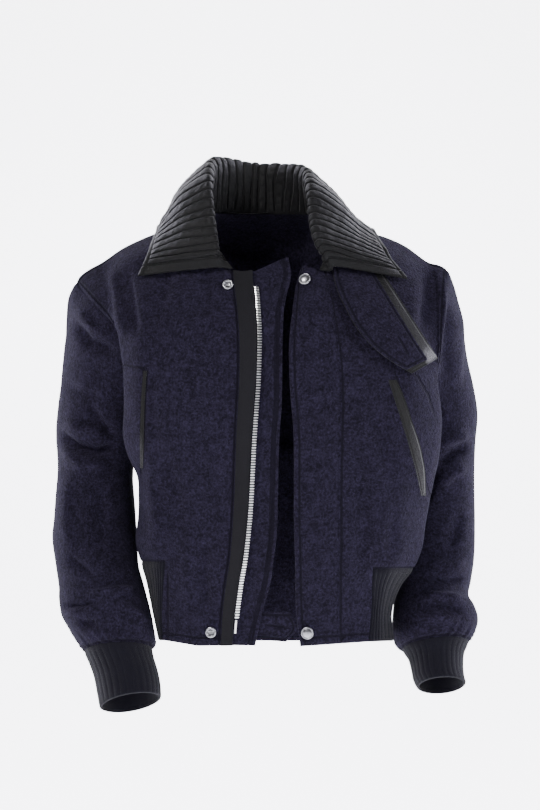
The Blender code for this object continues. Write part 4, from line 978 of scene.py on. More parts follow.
def shell(name, outer, inner, sign, kind, closed=False, keep=None, seam=None, body="jacket"):
    """A closed wall between two grids of points, with its lengths and its stitch lines as UV maps.

    Each kept cell gives a quad outside and one inside, and each side of it without a kept
    neighbour gives a rim quad between the two.
    """
    rows, columns = outer.shape[:2]
    cells = np.ones((rows - 1, columns if closed else columns - 1), bool) if keep is None else keep
    r, c = np.nonzero(cells)
    corner_r = np.stack([r, r, r + 1, r + 1], 1)
    corner_c = np.stack([c, c + 1, c + 1, c], 1)
    padded = np.pad(cells, 1)
    if closed:
        padded[1:-1, 0], padded[1:-1, -1] = cells[:, -1], cells[:, 0]
    sides = ((0, 1, padded[:-2, 1:-1]), (1, 2, padded[1:-1, 2:]),
             (2, 3, padded[2:, 1:-1]), (3, 0, padded[1:-1, :-2]))
    face_r, face_c, face_layer = [corner_r, corner_r[:, ::-1]], [corner_c, corner_c[:, ::-1]], []
    face_layer += [np.zeros_like(corner_r), np.ones_like(corner_r)]
    for a, b, neighbour in sides:
        bare = ~neighbour[r, c]
        ra, ca, rb, cb = corner_r[bare, a], corner_c[bare, a], corner_r[bare, b], corner_c[bare, b]
        face_r.append(np.stack([rb, ra, ra, rb], 1))
        face_c.append(np.stack([cb, ca, ca, cb], 1))
        face_layer.append(np.tile([0, 0, 1, 1], (len(ra), 1)))
    face_r, face_c, face_layer = (np.concatenate(part) for part in (face_r, face_c, face_layer))
    if sign < 0:
        face_r, face_c, face_layer = face_r[:, ::-1], face_c[:, ::-1], face_layer[:, ::-1]
    index = face_layer * rows * columns + face_r * columns + face_c % columns
    used, index = np.unique(index, return_inverse=True)
    index = index.reshape(face_r.shape)
    points = np.concatenate([outer.reshape(-1, 3), inner.reshape(-1, 3)])[used] * MM
    across, down = gone(outer, 1), gone(outer, 0)
    if closed:
        lap = np.linalg.norm(outer[:, 0] - outer[:, -1], axis=-1)[:, None]
        across, down = np.concatenate([across, across[:, -1:] + lap], 1), widen(down)
    if seam is None:
        seam = (np.full(across.shape, NO_STITCH), np.zeros(across.shape))
    elif closed:
        seam = (widen(seam[0]), widen(seam[1]))
    stitch = np.where(face_layer == 0, seam[0][face_r, face_c], NO_STITCH)
    maps = {"cut": (across[face_r, face_c], down[face_r, face_c]), "seam": (stitch, seam[1][face_r, face_c])}
    return add_mesh(name, points, index, kind, maps, body)


def add_mesh(name, points, faces, kind, maps=None, body="jacket"):
    """Makes a smooth mesh from metre points, with its UV maps in millimetres, riding on a body."""
    mesh = bpy.data.meshes.new(name)
    faces = [list(map(int, face)) for face in faces] if not isinstance(faces, np.ndarray) else faces.tolist()
    mesh.from_pydata(np.asarray(points).tolist(), [], faces)
    for label, (u, v) in (maps or {}).items():
        layer = mesh.uv_layers.new(name=label)
        layer.data.foreach_set("uv", np.stack([u.ravel(), v.ravel()], 1).astype(np.float32).ravel() / 1000)
    mesh.update()
    mesh.shade_smooth()
    mesh.set_sharp_from_angle(angle=math.radians(50))
    made = bpy.data.objects.new(name, mesh)
    made.data.materials.append(MATERIAL[kind])
    bpy.context.scene.collection.objects.link(made)
    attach(made, body)
    return made


def turned(profile, sides):
    """Points and faces of a shape turned about Z from (radius, height) places, its two ends on the axis."""
    angles = np.arange(sides) * 2 * math.pi / sides
    rings = [np.stack([np.cos(angles) * r, np.sin(angles) * r, np.full(sides, h)], 1)
             for r, h in profile[1:-1]]
    points = np.concatenate([[(0, 0, profile[0][1])], *rings, [(0, 0, profile[-1][1])]])
    k = np.arange(sides)
    j = (k + 1) % sides
    faces = [[0, 1 + b, 1 + a] for a, b in zip(k, j)]
    for level in range(len(rings) - 1):
        low, high = 1 + level * sides, 1 + (level + 1) * sides
        faces += [[low + a, low + b, high + b, high + a] for a, b in zip(k, j)]
    last = 1 + (len(rings) - 1) * sides
    top = len(points) - 1
    faces += [[top, last + a, last + b] for a, b in zip(k, j)]
    return points, faces


def placed(points, centre, across, up, out):
    """Moves points from their own axes to a place and three directions."""
    return np.asarray(centre) + points @ np.stack([across, up, out])


class Value:
    """A shader socket that takes sums, products and powers as maths nodes."""

    def __init__(self, tree, socket):
        self.tree, self.socket = tree, socket

    def make(self, kind, settings=None, sockets=None, out=0):
        """Adds a node of a type, sets its options and its sockets, and gives one of its outputs."""
        node = self.tree.nodes.new(kind)
        for label, setting in (settings or {}).items():
            setattr(node, label, setting)
        for label, given in (sockets or {}).items():
            if isinstance(given, Value):
                self.tree.links.new(given.socket, node.inputs[label])
            else:
                node.inputs[label].default_value = given
        return Value(self.tree, node.outputs[out])

    def maths(self, operation, *given, clamp=False):
        settings = {"operation": operation, "use_clamp": clamp}
        return self.make("ShaderNodeMath", settings, dict(enumerate(given)))

    def __add__(self, other):
        return self.maths("ADD", self, other)

    def __sub__(self, other):
        return self.maths("SUBTRACT", self, other)

    def __rsub__(self, other):
        return self.maths("SUBTRACT", other, self)

    def __mul__(self, other):
        return self.maths("MULTIPLY", self, other)

    def __pow__(self, other):
        return self.maths("POWER", self, other)

    __radd__ = __add__
    __rmul__ = __mul__

    def sine(self):
        return self.maths("SINE", self)

    def size(self):
        return self.maths("ABSOLUTE", self)

    def below(self, limit, soft):
        """1 where the value is under a limit, falling to 0 over a soft stretch above it."""
        return self.maths("DIVIDE", self.maths("SUBTRACT", limit + soft, self), soft, clamp=True)

    def noise(self, place, scale, detail=2.0, roughness=0.5):
        return self.make("ShaderNodeTexNoise", {"noise_dimensions": "3D"},
                         {"Vector": place, "Scale": scale, "Detail": detail, "Roughness": roughness})

    def colours(self, share, dark, light):
        return self.make("ShaderNodeMix", {"data_type": "RGBA"}, {0: share, 6: (*dark, 1), 7: (*light, 1)}, 2)


def new_material(name, roughness, metallic=0.0):
    """An empty Principled material: its shader and a value to build its nodes from."""
    made = bpy.data.materials.new(name)
    made.use_nodes = True
    shader = made.node_tree.nodes["Principled BSDF"]
    shader.inputs["Roughness"].default_value = roughness
    shader.inputs["Metallic"].default_value = metallic
    return made, shader, Value(made.node_tree, None)


def finish_material(base, shader, colour, bump, distance):
    """Feeds the colour, and the height in millimetres through one bump node."""
    base.tree.links.new(colour.socket, shader.inputs["Base Color"])
    normal = base.make("ShaderNodeBump", None, {"Strength": 1.0, "Distance": distance, "Height": bump})
    base.tree.links.new(normal.socket, shader.inputs["Normal"])


def flat_place(base, name):
    """Across and down in millimetres from one of the piece's own maps."""
    split = base.make("ShaderNodeSeparateXYZ", None, {0: base.make("ShaderNodeUVMap", {"uv_map": name})})
    down = Value(base.tree, split.socket.node.outputs[1])
    return split * 1000.0, down * 1000.0


def stitch_marks(base):
    """Stitch line at the seam map: how deep the cloth is pulled in, a mask the materials also use to paint
    shade into the groove, and where the thread lies.
    """
    away, run = flat_place(base, "seam")
    away = away.size()
    # groove sinks the bump and is also the mask for the painted shade in the grooves' colour
    groove = away.below(0.8, 1.5)
    thread = away.below(0.35, 0.25) * ((run * (2 * math.pi / STITCH_PITCH)).sine().size() ** 0.5)
    return groove, thread


def wool_material():
    """Melton wool: a dark felt with nubs, fine fibres and broad uneven patches, with painted shade darkening
    its stitch grooves.
    """
    made, shader, base = new_material("melton_wool", 1.0)
    place = base.make("ShaderNodeTexCoord", out=3)
    nub = base.noise(place, 300.0, 3.0, 0.7)
    fibre = base.noise(place, 1500.0, 2.0, 0.6)
    broad = base.noise(place, 95.0, 3.0, 0.6)
    groove, thread = stitch_marks(base)
    # The groove term paints shade: it darkens the colour almost to the dark end along the stitch grooves.
    share = (nub * 2.3 + fibre * 1.2 + broad * 0.8 - 1.85) * (1 - groove * 0.95) + thread * 0.1
    colour = base.colours(base.maths("MULTIPLY", share, 1.0, clamp=True), WOOL_DARK, WOOL_LIGHT)
    height = nub * 3.0 + fibre * 0.5 + broad * 1.6 - groove * 1.3 + thread * 0.4
    finish_material(base, shader, colour, height, MM)
    shader.inputs["Sheen Weight"].default_value = 0.035
    shader.inputs["Sheen Roughness"].default_value = 0.55
    shader.inputs["Sheen Tint"].default_value = (0.42, 0.38, 0.62, 1)
    shader.inputs["Specular IOR Level"].default_value = 0.05
    return made


def knit_material():
    """Rib knit: small loops in slanting lines, with fuzz."""
    made, shader, base = new_material("rib_knit_wool", 0.95)
    across, down = flat_place(base, "cut")
    place = base.make("ShaderNodeTexCoord", out=3)
    lean = (across * (2 * math.pi / KNIT_PITCH)).sine()
    loops = ((down * (2 * math.pi / KNIT_PITCH)) + lean * 1.4).sine()
    fuzz = base.noise(place, 1300.0, 2.0, 0.6)
    share = loops * 0.16 + fuzz * 0.75 - 0.1
    colour = base.colours(base.maths("MULTIPLY", share, 1.0, clamp=True), KNIT_DARK, KNIT_LIGHT)
    finish_material(base, shader, colour, loops * 0.14 + lean.size() * 0.12 + fuzz * 0.18, MM)
    shader.inputs["Sheen Weight"].default_value = 0.04
    shader.inputs["Sheen Roughness"].default_value = 0.5
    shader.inputs["Specular IOR Level"].default_value = 0.05
    return made


def nylon_material(name, dark, light):
    """Plain woven nylon, crinkled where it is quilted, with painted shade darkening its stitch grooves."""
    made, shader, base = new_material(name, 0.5)
    shader.inputs["Specular IOR Level"].default_value = 0.1
    across, down = flat_place(base, "cut")
    place = base.make("ShaderNodeTexCoord", out=3)
    weave = (across * (2 * math.pi / 0.5)).sine() * (down * (2 * math.pi / 0.5)).sine()
    crinkle = base.noise(place, 230.0, 3.0, 0.6)
    groove, thread = stitch_marks(base)
    # The groove term paints shade: it darkens the colour along the stitch grooves.
    share = crinkle * 0.9 - 0.1 - groove * 0.3 + thread * 0.35
    colour = base.colours(base.maths("MULTIPLY", share, 1.0, clamp=True), dark, light)
    finish_material(base, shader, colour, weave * 0.03 + crinkle * 1.1 - groove * 0.8 + thread * 0.3, MM)
    base.tree.links.new((0.48 + crinkle * 0.22).socket, shader.inputs["Roughness"])
    shader.inputs["Sheen Weight"].default_value = 0.03
    shader.inputs["Sheen Roughness"].default_value = 0.4
    return made


def tape_material():
    """Woven zip tape: a fine diagonal weave."""
    made, shader, base = new_material("woven_tape", 0.9)
    shader.inputs["Specular IOR Level"].default_value = 0.08
    across, down = flat_place(base, "cut")
    place = base.make("ShaderNodeTexCoord", out=3)
    weave = ((across + down) * (2 * math.pi / 1.1)).sine() * ((across - down) * (2 * math.pi / 1.1)).sine()
    fuzz = base.noise(place, 900.0)
    share = base.maths("MULTIPLY", weave * 0.3 + fuzz * 0.8, 0.9, clamp=True)
    finish_material(base, shader, base.colours(share, TAPE_DARK, TAPE_LIGHT), weave * 0.12, MM)
    return made


def metal_material(name, dark, light, roughness):
    """Satin metal with fine brushing and a little wear."""
    made, shader, base = new_material(name, roughness, 1.0)
    place = base.make("ShaderNodeTexCoord", out=3)
    stretched = base.make("ShaderNodeVectorMath", {"operation": "MULTIPLY"}, {0: place, 1: (1.0, 1.0, 0.12)})
    brush = base.noise(stretched, 5000.0, 2.0, 0.6)
    wear = base.noise(place, 300.0, 3.0, 0.6)
    finish_material(base, shader, base.colours(wear, dark, light), brush * 0.02, MM)
    base.tree.links.new((wear * 0.2 + (roughness - 0.08)).socket, shader.inputs["Roughness"])
    return made


def along_path(points, pitch, first=0.0):
    """Places every pitch along a path of points, with the direction of the path there."""
    run = np.concatenate([[0], np.cumsum(np.linalg.norm(np.diff(points, axis=0), axis=1))])
    at = np.arange(first, run[-1], pitch)
    here = np.stack([np.interp(at, run, points[:, k]) for k in range(3)], -1)
    ahead = np.stack([np.interp(at + 0.5, run, points[:, k]) - np.interp(at - 0.5, run, points[:, k])
                      for k in range(3)], -1)
    return here, unit(ahead), at / run[-1]


# Corners of one zip tooth: across the tape, along it, and out, as shares of its width, pitch and depth.
TOOTH = np.array([
    # across, along, out
    (0.0, -0.25, -0.38), (0.0, 0.25, -0.38), (0.0, 0.25, 0.38), (0.0, -0.25, 0.38),
    (0.16, -0.25, -0.5), (0.16, 0.25, -0.5), (0.16, 0.25, 0.5), (0.16, -0.25, 0.5),
    (0.62, -0.25, -0.5), (0.62, 0.25, -0.5), (0.62, 0.25, 0.5), (0.62, -0.25, 0.5),
    (0.72, -0.2, -0.42), (0.72, 0.2, -0.42), (0.72, 0.2, 0.42), (0.72, -0.2, 0.42),
    (0.95, -0.23, -0.44), (0.95, 0.23, -0.44), (0.95, 0.23, 0.44), (0.95, -0.23, 0.44),
    (1.0, -0.14, -0.3), (1.0, 0.14, -0.3), (1.0, 0.14, 0.3), (1.0, -0.14, 0.3),
], float)


def teeth(name, inner, outer, normals, pitch, first):
    """Zip teeth between the two edges of a chain, one solid bar each."""
    middle = (inner + outer) / 2
    here, ahead, share = along_path(middle, pitch, first)
    rows = share * (len(inner) - 1)
    across = cubic(outer - inner, rows) * TOOTH_REACH
    out = unit(cubic(normals, rows))
    start = here - across / (2 * TOOTH_REACH)
    size = np.array([1.0, pitch, CHAIN_DEPTH])
    frame = np.stack([across, ahead, out], 1)
    points = start[:, None] + np.einsum("kc,ncd->nkd", TOOTH * size, frame)
    rings = len(TOOTH) // 4
    faces = [[0, 1, 2, 3], [4 * rings - 1, 4 * rings - 2, 4 * rings - 3, 4 * rings - 4]]
    for level in range(rings - 1):
        for k in range(4):
            low, high = 4 * level, 4 * level + 4
            faces.append([low + (k + 1) % 4, low + k, high + k, high + (k + 1) % 4])
    faces = (np.array(faces)[None] + (np.arange(len(here)) * len(TOOTH))[:, None, None]).reshape(-1, 4)
    made = add_mesh(name, points.reshape(-1, 3) * MM, faces, "metal")
    if volume(made) < 0:
        made.data.flip_normals()
    return made


def volume(made):
    """Signed volume of a closed mesh."""
    mesh = made.data
    mesh.calc_loop_triangles()
    corners = np.empty(len(mesh.loop_triangles) * 3, np.int32)
    mesh.loop_triangles.foreach_get("vertices", corners)
    places_of = np.empty(len(mesh.vertices) * 3)
    mesh.vertices.foreach_get("co", places_of)
    a, b, c = places_of.reshape(-1, 3)[corners.reshape(-1, 3)].swapaxes(0, 1)
    return float(np.einsum("nd,nd->", a, np.cross(b, c))) / 6


def join_parts(name, parts, kind, body="jacket"):
    """One mesh of several (points, faces) parts in millimetres."""
    points, faces = [], []
    for part_points, part_faces in parts:
        faces += [[corner + len(points) for corner in face] for face in part_faces]
        points += [tuple(p) for p in part_points]
    return add_mesh(name, np.array(points) * MM, faces, kind, body=body)


def bar(low, high, ease):
    """A box between two corners with its edges cut back."""
    low, high = np.array(low, float), np.array(high, float)
    made = bmesh.new()
    bmesh.ops.create_cube(made, size=1.0)
    for corner in made.verts:
        corner.co = Vector((low + high) / 2 + np.array(corner.co) * (high - low))
    bmesh.ops.bevel(made, geom=made.edges[:], offset=ease, segments=2, profile=0.6, affect="EDGES")
    points = np.array([corner.co for corner in made.verts])
    made.verts.index_update()
    faces = [[corner.index for corner in face.verts] for face in made.faces]
    made.free()
    return points, faces


def swept(path, radius, sides=10):
    """A round bar along a path of points, closed at its ends."""
    path = np.array(path, float)
    ahead = unit(np.gradient(path, axis=0))
    helper = np.array([1.0, 0.0, 0.0]) if abs(ahead[0][0]) < 0.8 else np.array([0.0, 1.0, 0.0])
    across = unit(np.cross(ahead, helper))
    up = np.cross(ahead, across)
    angles = np.arange(sides) * 2 * math.pi / sides
    ring_of = np.cos(angles)[None, :, None] * across[:, None] + np.sin(angles)[None, :, None] * up[:, None]
    points = (path[:, None] + ring_of * radius).reshape(-1, 3)
    faces = [[r * sides + k, r * sides + (k + 1) % sides,
              (r + 1) * sides + (k + 1) % sides, (r + 1) * sides + k]
             for r in range(len(path) - 1) for k in range(sides)]
    last = (len(path) - 1) * sides
    faces += [list(range(sides))[::-1], [last + k for k in range(sides)]]
    return points, faces


def snap_parts(tree, x, z, radius, height, kind):
    """A snap lying on a panel: a domed cap with a ring, or a socket ring round a hollow with its spring."""
    centre, _ = touch(tree, x, z)
    spread = radius * 0.9
    across = unit(touch(tree, x + spread, z)[0] - touch(tree, x - spread, z)[0])
    out = unit(np.cross(across, touch(tree, x, z + spread)[0] - touch(tree, x, z - spread)[0]))
    out = out if out[1] < 0 else -out
    up = np.cross(out, across)
    rim = [touch(tree, x + reach * math.cos(a), z + reach * math.sin(a))[0]
           for a in np.arange(16) * math.pi / 8 for reach in (spread * 0.4, spread, radius * 1.05)]
    base = centre + out * max([0] + [float(np.dot(p - centre, out)) for p in rim])
    if kind == "cap":
        profile = [(0, 0), (0.86, 0), (1.0, 0.25), (1.0, 0.6), (0.95, 0.85), (0.88, 0.92), (0.82, 0.86),
                   (0.79, 0.72), (0.74, 0.78), (0.6, 0.98), (0.4, 1.12), (0.2, 1.2), (0, 1.23)]
    else:
        profile = [(0, 0), (0.9, 0), (1.0, 0.3), (1.0, 0.65), (0.93, 0.95), (0.82, 1.05), (0.7, 1.0),
                   (0.62, 0.8), (0.56, 0.35), (0.5, 0.2), (0.2, 0.16), (0, 0.16)]
    points, faces = turned([(r * radius, h * (height + SNAP_GAP)) for r, h in profile], 48)
    parts = [(placed(points, base, across, up, out), faces)]
    if kind == "socket":
        for y in (-0.24, 0.24):
            reach = radius * math.sqrt(0.6 ** 2 - y ** 2)
            path = [(s * reach, y * radius, height * 0.75) for s in np.linspace(-1, 1, 7)]
            points, faces = swept(path, 0.45)
            parts.append((placed(points, base, across, up, out), faces))
    return parts


def declare(points, closed=False, cells=None):
    """Repeats a closed piece's first column after its last and fills in its cells when none are given;
    nothing is kept or returned.
    """
    if closed:
        points = np.concatenate([points, points[:, :1]], axis=1)
    if cells is None:
        cells = np.ones((points.shape[0] - 1, points.shape[1] - 1), bool)


def line_in(points, line, ok=True):
    """Distance and run of a picture's stitch line on a front surface."""
    away, run, _ = line_distance(seen(points), picture(line))
    return np.where(ok, away, 50.0), run


def edge_line(distance, offset, run, ok=True):
    """Stitch line at a distance from an edge."""
    return np.where(ok, distance - offset, NO_STITCH), run


def cell_keep(rows_at, columns_at, keep):
    """Which fine cells lie in kept parts of the coarse grid."""
    r = (rows_at[:-1] + rows_at[1:]) / 2
    c = (columns_at[:-1] + columns_at[1:]) / 2
    return keep(r[:, None], c[None, :])


def groove(distance, depth=1.8, width=2.6):
    """Height of a seam groove: minus depth times e to minus the square of distance by width."""
    return -depth * np.exp(-(distance / width) ** 2)


def pucker(run, distance, line_at, size=0.35):
    """Small gathers beside a stitch line, 9 mm and 14 mm long."""
    near = np.exp(-((distance - line_at) / 9.0) ** 2)
    return size * near * (np.sin(run * 2 * math.pi / 9.3) + 0.6 * np.sin(run * 2 * math.pi / 14.1 + 1.3))


def make_wall(name, node, points, normals, thickness, sign, kind, relief, lines=None, closed=False, keep=None,
              lift=0.0, body="jacket"):
    """Shell of a cloth piece that stands for its node."""
    for away, _ in lines or ():
        relief = relief + groove(away, 0.25 * float(np.max(thickness)), 1.5)
    outer = points + normals * (lift + relief)[..., None]
    inner = points + normals * np.broadcast_to(lift - thickness, relief.shape)[..., None]
    seam = nearest_of(lines) if lines else None
    made = shell(name, outer, inner, sign, kind, closed, keep, seam, body)
    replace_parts(made, node)
    declare(points, closed, keep)
    return made


def front_panel(side, panel, first, last, keep):
    """A front: rounded front edge and hem, seams at the armhole, shoulder, side and rib."""
    rows_at = steps(ROWS, 8, last_edge=True)
    columns_at = first + steps(last - first, 9, first_edge=True)
    points, normals = panel.at(rows_at, columns_at)
    grid_r, grid_c = rows_at[:, None] + 0 * columns_at, columns_at + 0 * rows_at[:, None]
    from_edge, to_side = gone(points, 1), gone(points, 1, from_end=True)
    from_top, to_hem = gone(points, 0), gone(points, 0, from_end=True)
    rib = RIGHT_RIB if side == "right" else LEFT_RIB
    body = grid_c <= rib + 0.01
    rib_seam = np.where((grid_c >= rib) & (grid_r <= RIB_ROW + 0.01), np.abs(RIB_ROW - grid_r) * 36.0, 90.0)
    relief = -np.where(body, soft_edge(to_hem, EDGE_RADIUS), 0.0)
    relief += groove(to_side) + groove(from_top) + groove(rib_seam)
    relief += pucker(from_edge, to_hem, HEM_STITCH) * body + pucker(from_top, to_side, TOPSTITCH)
    lines = [
        edge_line(to_hem, HEM_STITCH, from_edge, body),
        edge_line(to_side, TOPSTITCH, from_top, grid_r < ARMHOLE_ROWS),
        edge_line(rib_seam, 2.5, from_edge),
        edge_line(from_top, TOPSTITCH, from_edge),
    ]
    if side == "right":
        relief -= soft_edge(from_edge, EDGE_RADIUS)
        tape = np.array([np.interp(1.0, columns_at, row) for row in from_edge])[:, None]
        lines += [edge_line(from_edge, tape + 2.5, from_top)]
        relief += groove(from_edge - tape - 2.5, 0.5, 2.0)
        shown = RIGHT_POCKET_LINES + (RIB_FRONT_LINE,)
        lines += [line_in(points, line, normals[..., 1] < 0) for line in shown]
    else:
        relief += groove(from_edge, 1.4, 2.4)
        lines += [edge_line(from_edge, 5.0, from_top)]
        lines += [line_in(points, line, normals[..., 1] < 0) for line in LEFT_POCKET_LINES]
    cells = cell_keep(rows_at, columns_at, keep)
    make_wall("cloth_%s_front" % side, side + "_front", points, normals, WOOL, panel.sign, "wool", relief,
              lines, keep=cells)


def side_rib(side, run, sign):
    """Rib knit at a side of the hem: rounded ribs with narrow grooves, folded at its foot."""
    cells_across = run.shape[1] - 1
    length = float(gone(run, 1)[2, -1])
    ribs = round(length / SIDE_RIB_PITCH)
    rows_at = steps(3, 8, last_edge=True)
    columns_at = np.linspace(0, cells_across, ribs * 8 + 1)
    panel = Panel(run, sign, unevenness=0.0)
    points, normals = panel.at(rows_at, columns_at)
    from_edge, to_edge = gone(points, 1), gone(points, 1, from_end=True)
    from_top, to_hem = gone(points, 0), gone(points, 0, from_end=True)
    wave = np.abs(np.sin(np.linspace(0, math.pi * ribs, ribs * 8 + 1)))[None, :] ** 0.45
    grown = np.clip(from_top / 12.0, 0.35, 1)
    relief = SIDE_RIDGE * wave * grown - soft_edge(to_hem, 2.2)
    relief += groove(from_top) + groove(from_edge) + groove(to_edge)
    make_wall("knit_%s_side" % side, side + "_side_rib", points, normals, WOOL, sign, "rib_knit",
              relief, [edge_line(from_top, 60.0, from_edge)])


def sleeve(side, grid, sign, folds):
    """Sleeve with its folds, its seams and the gathers above the cuff."""
    panel = Panel(grid, sign, True, folds, SLEEVE_BACK_FOLDS[side], 1.5,
                  lambda r, c: ease(r) * ease(len(grid) - 1 - r) + 0 * c)
    rings = len(grid) - 1
    rows_at = steps(rings, 9)
    columns_at = np.arange(ARM_COLUMNS * 9) / 9
    points, normals = panel.at(rows_at, columns_at)
    from_top, to_cuff = gone(points, 0), gone(points, 0, from_end=True)
    around = gone(points, 1)
    waves = np.sin(around * 2 * math.pi / 17.0) + 0.5 * np.sin(around / 1.7 + 1)
    gather = np.exp(-(to_cuff / 22.0) ** 2) * waves
    relief = groove(from_top, 1.4, 2.6) + groove(to_cuff, 1.4, 2.6) + gather * 0.8
    inner_seam = np.abs(columns_at - ARM_COLUMNS / 2)[None, :] * 18.0 + 0 * from_top
    relief += groove(inner_seam, 0.8, 2.0)
    lines = [edge_line(to_cuff, 3.0, around), edge_line(inner_seam, 0.0, from_top)]
    make_wall("cloth_%s_sleeve" % side, side + "_sleeve", points, normals, WOOL, sign, "wool",
              relief, lines, closed=True)


def cuff(side, sign):
    """Rib cuff: 28 rounded ribs with narrow grooves, folded at its end."""
    grid = to_true(cuff_grid(side))
    panel = Panel(grid, sign, True, unevenness=0.6, share=lambda r, c: ease(r) + 0 * c)
    rows_at = steps(len(grid) - 1, 7, last_edge=True)
    columns_at = np.arange(CUFF_RIBS * 10) / 5
    points, normals = panel.at(rows_at, columns_at)
    from_top, to_end = gone(points, 0), gone(points, 0, from_end=True)
    bend_of = 0.12 * np.sin(from_top / 19.0 + 2.0)
    wave = np.abs(np.cos((columns_at[None, :] + bend_of) * math.pi / 2)) ** 0.4
    grown = np.clip(from_top / 10.0, 0.3, 1)
    relief = CUFF_RIDGE * wave * grown - soft_edge(to_end, 2.4) + groove(from_top, 1.0)
    make_wall("knit_%s_cuff" % side, side + "_cuff", points, normals, RIB_KNIT, sign, "rib_knit",
              relief, None, closed=True)


def quilted_collar(grid):
    """The collar: puffed channels that run from the neck to the outer edge, uneven and crinkled."""
    last = grid.shape[1] - 1
    rows_at = steps(len(grid) - 1, 9, last_edge=True)
    columns_at = steps(last, 5, first_edge=True, last_edge=True)
    panel = Panel(grid, 1, unevenness=1.0)
    points, normals = panel.at(rows_at, columns_at)
    from_edge, to_edge = gone(points, 1), gone(points, 1, from_end=True)
    from_seam, to_rim = gone(points, 0), gone(points, 0, from_end=True)
    shift = sum(0.11 * np.sin(from_seam / length + columns_at[None, :] * pace + start)
                for length, pace, start in ((11.0, 0.9, 0.4), (17.0, 0.37, 2.0), (27.0, 1.7, 4.0)))
    phase = (columns_at[None, :] + shift) / 2
    puffed = np.abs(np.sin(phase * math.pi)) ** 0.6
    channel = np.floor(phase).astype(int)
    fill = 0.8 + 0.35 * np.sin(channel * 2.4) * np.cos(channel * 1.1)
    crinkle = 0.45 * np.sin(from_seam / 2.1 + channel * 2.9 + 1.6 * np.sin(from_seam / 7.0 + channel))
    inside = np.clip((from_edge - COLLAR_END_BAND) / 5, 0, 1)
    inside = inside * np.clip((to_edge - COLLAR_END_BAND) / 5, 0, 1)
    inside = inside * np.clip((to_rim - COLLAR_RIM_BAND) / 4, 0, 1) * np.clip(from_seam / 6, 0, 1)
    relief = inside * puffed * (COLLAR_PUFF * 0.85 * fill + crinkle)
    relief += 1.0 * (1 - inside) * np.exp(-(((to_rim - 4) / 3.5) ** 2))
    relief -= soft_edge(to_rim, 2.4) + soft_edge(from_edge, 2.2) + soft_edge(to_edge, 2.2)
    width = (from_edge[:, -1:] / last)
    line_away = np.abs(phase - np.round(phase)) * 2 * width
    lines = [
        (np.where(inside > 0.1, line_away, NO_STITCH), from_seam),
        edge_line(to_rim, COLLAR_RIM_BAND, from_edge),
        edge_line(from_edge, COLLAR_END_BAND, from_seam),
        edge_line(to_edge, COLLAR_END_BAND, from_seam),
    ]
    thickness = cubic(COLLAR_WALL[:, None], rows_at) + 0 * from_edge
    make_wall("quilted_collar", "collar", points, normals, thickness, 1, "nylon", relief, lines)


def small_sheet(name, node, grid, sign, kind, thickness, lift, per_cell, lines_at=(), extra=(), edges="all",
                unevenness=0.3, puff=0.0):
    """A small sewn piece on a grid, with rounded edges and stitch lines at distances inside them."""
    rows_at = steps(grid.shape[0] - 1, per_cell, True, True)
    columns_at = steps(grid.shape[1] - 1, max(per_cell, 5), True, True)
    points, normals = Panel(grid, sign, unevenness=unevenness).at(rows_at, columns_at)
    left_of, right_of = gone(points, 1), gone(points, 1, from_end=True)
    above, beneath = gone(points, 0), gone(points, 0, from_end=True)
    shown = {"all": (left_of, right_of, above, beneath), "free": (right_of,),
             "sides": (left_of, right_of)}[edges]
    near = shown[0]
    for other in shown[1:]:
        near = np.minimum(near, other)
    relief = -soft_edge(near, min(1.0, thickness * 0.45)) + puff * (1 - np.exp(-near / 6.0))
    lines = [edge_line(near, offset, above + left_of) for offset in lines_at]
    lines += [line_in(points, line) for line in extra]
    return make_wall(name, node, points, normals, thickness, sign, kind, relief, lines,
                     lift=lift)


def body_foot(row, column, rib):
    """1 at the seams on the side ribs and past them, and 0 well inside the panel."""
    return (1 - ease(RIB_ROW - row)) * ease(column - rib + 1)


def storm_flap(panel):
    """The strip over the zip: the left front's columns before the zip seam."""
    rows_at, columns_at = steps(ROWS, 8, last_edge=True), steps(FLAP_COLUMNS, 12, first_edge=True)
    points, normals = panel.at(rows_at, columns_at)
    from_edge, to_seam = gone(points, 1), gone(points, 1, from_end=True)
    from_top, to_hem = gone(points, 0), gone(points, 0, from_end=True)
    relief = -soft_edge(from_edge, EDGE_RADIUS) - soft_edge(to_hem, EDGE_RADIUS) + groove(to_seam, 1.4, 2.4)
    relief += pucker(from_top, from_edge, FLAP_STITCH, 0.25)
    make_wall("cloth_storm_flap", "storm_flap", points, normals, WOOL, -1, "wool", relief,
              [edge_line(from_edge, FLAP_STITCH, from_top), edge_line(to_hem, HEM_STITCH, from_edge)])


def back_piece(panel):
    """The back, one piece, with the side ribs' corners left out."""
    rows_at, columns_at = steps(ROWS, 8, last_edge=True), steps(BACK_COLUMNS, 9)
    points, normals = panel.at(rows_at, columns_at)
    keep = cell_keep(rows_at, columns_at, lambda r, c: (
        (r < RIB_ROW) | ((c > BACK_RIB_CELLS) & (c < BACK_COLUMNS - BACK_RIB_CELLS))))
    from_side, to_side = gone(points, 1), gone(points, 1, from_end=True)
    from_top, to_hem = gone(points, 0), gone(points, 0, from_end=True)
    side_away = np.minimum(from_side, to_side)
    relief = groove(side_away) + groove(from_top) - soft_edge(to_hem, EDGE_RADIUS)
    upper = rows_at[:, None] + 0 * from_side < ARMHOLE_ROWS
    make_wall("cloth_back", "back", points, normals, WOOL, 1, "wool", relief,
              [edge_line(to_hem, HEM_STITCH, from_side), edge_line(side_away, TOPSTITCH, from_top, upper),
               edge_line(from_top, TOPSTITCH, from_side)], keep=keep)


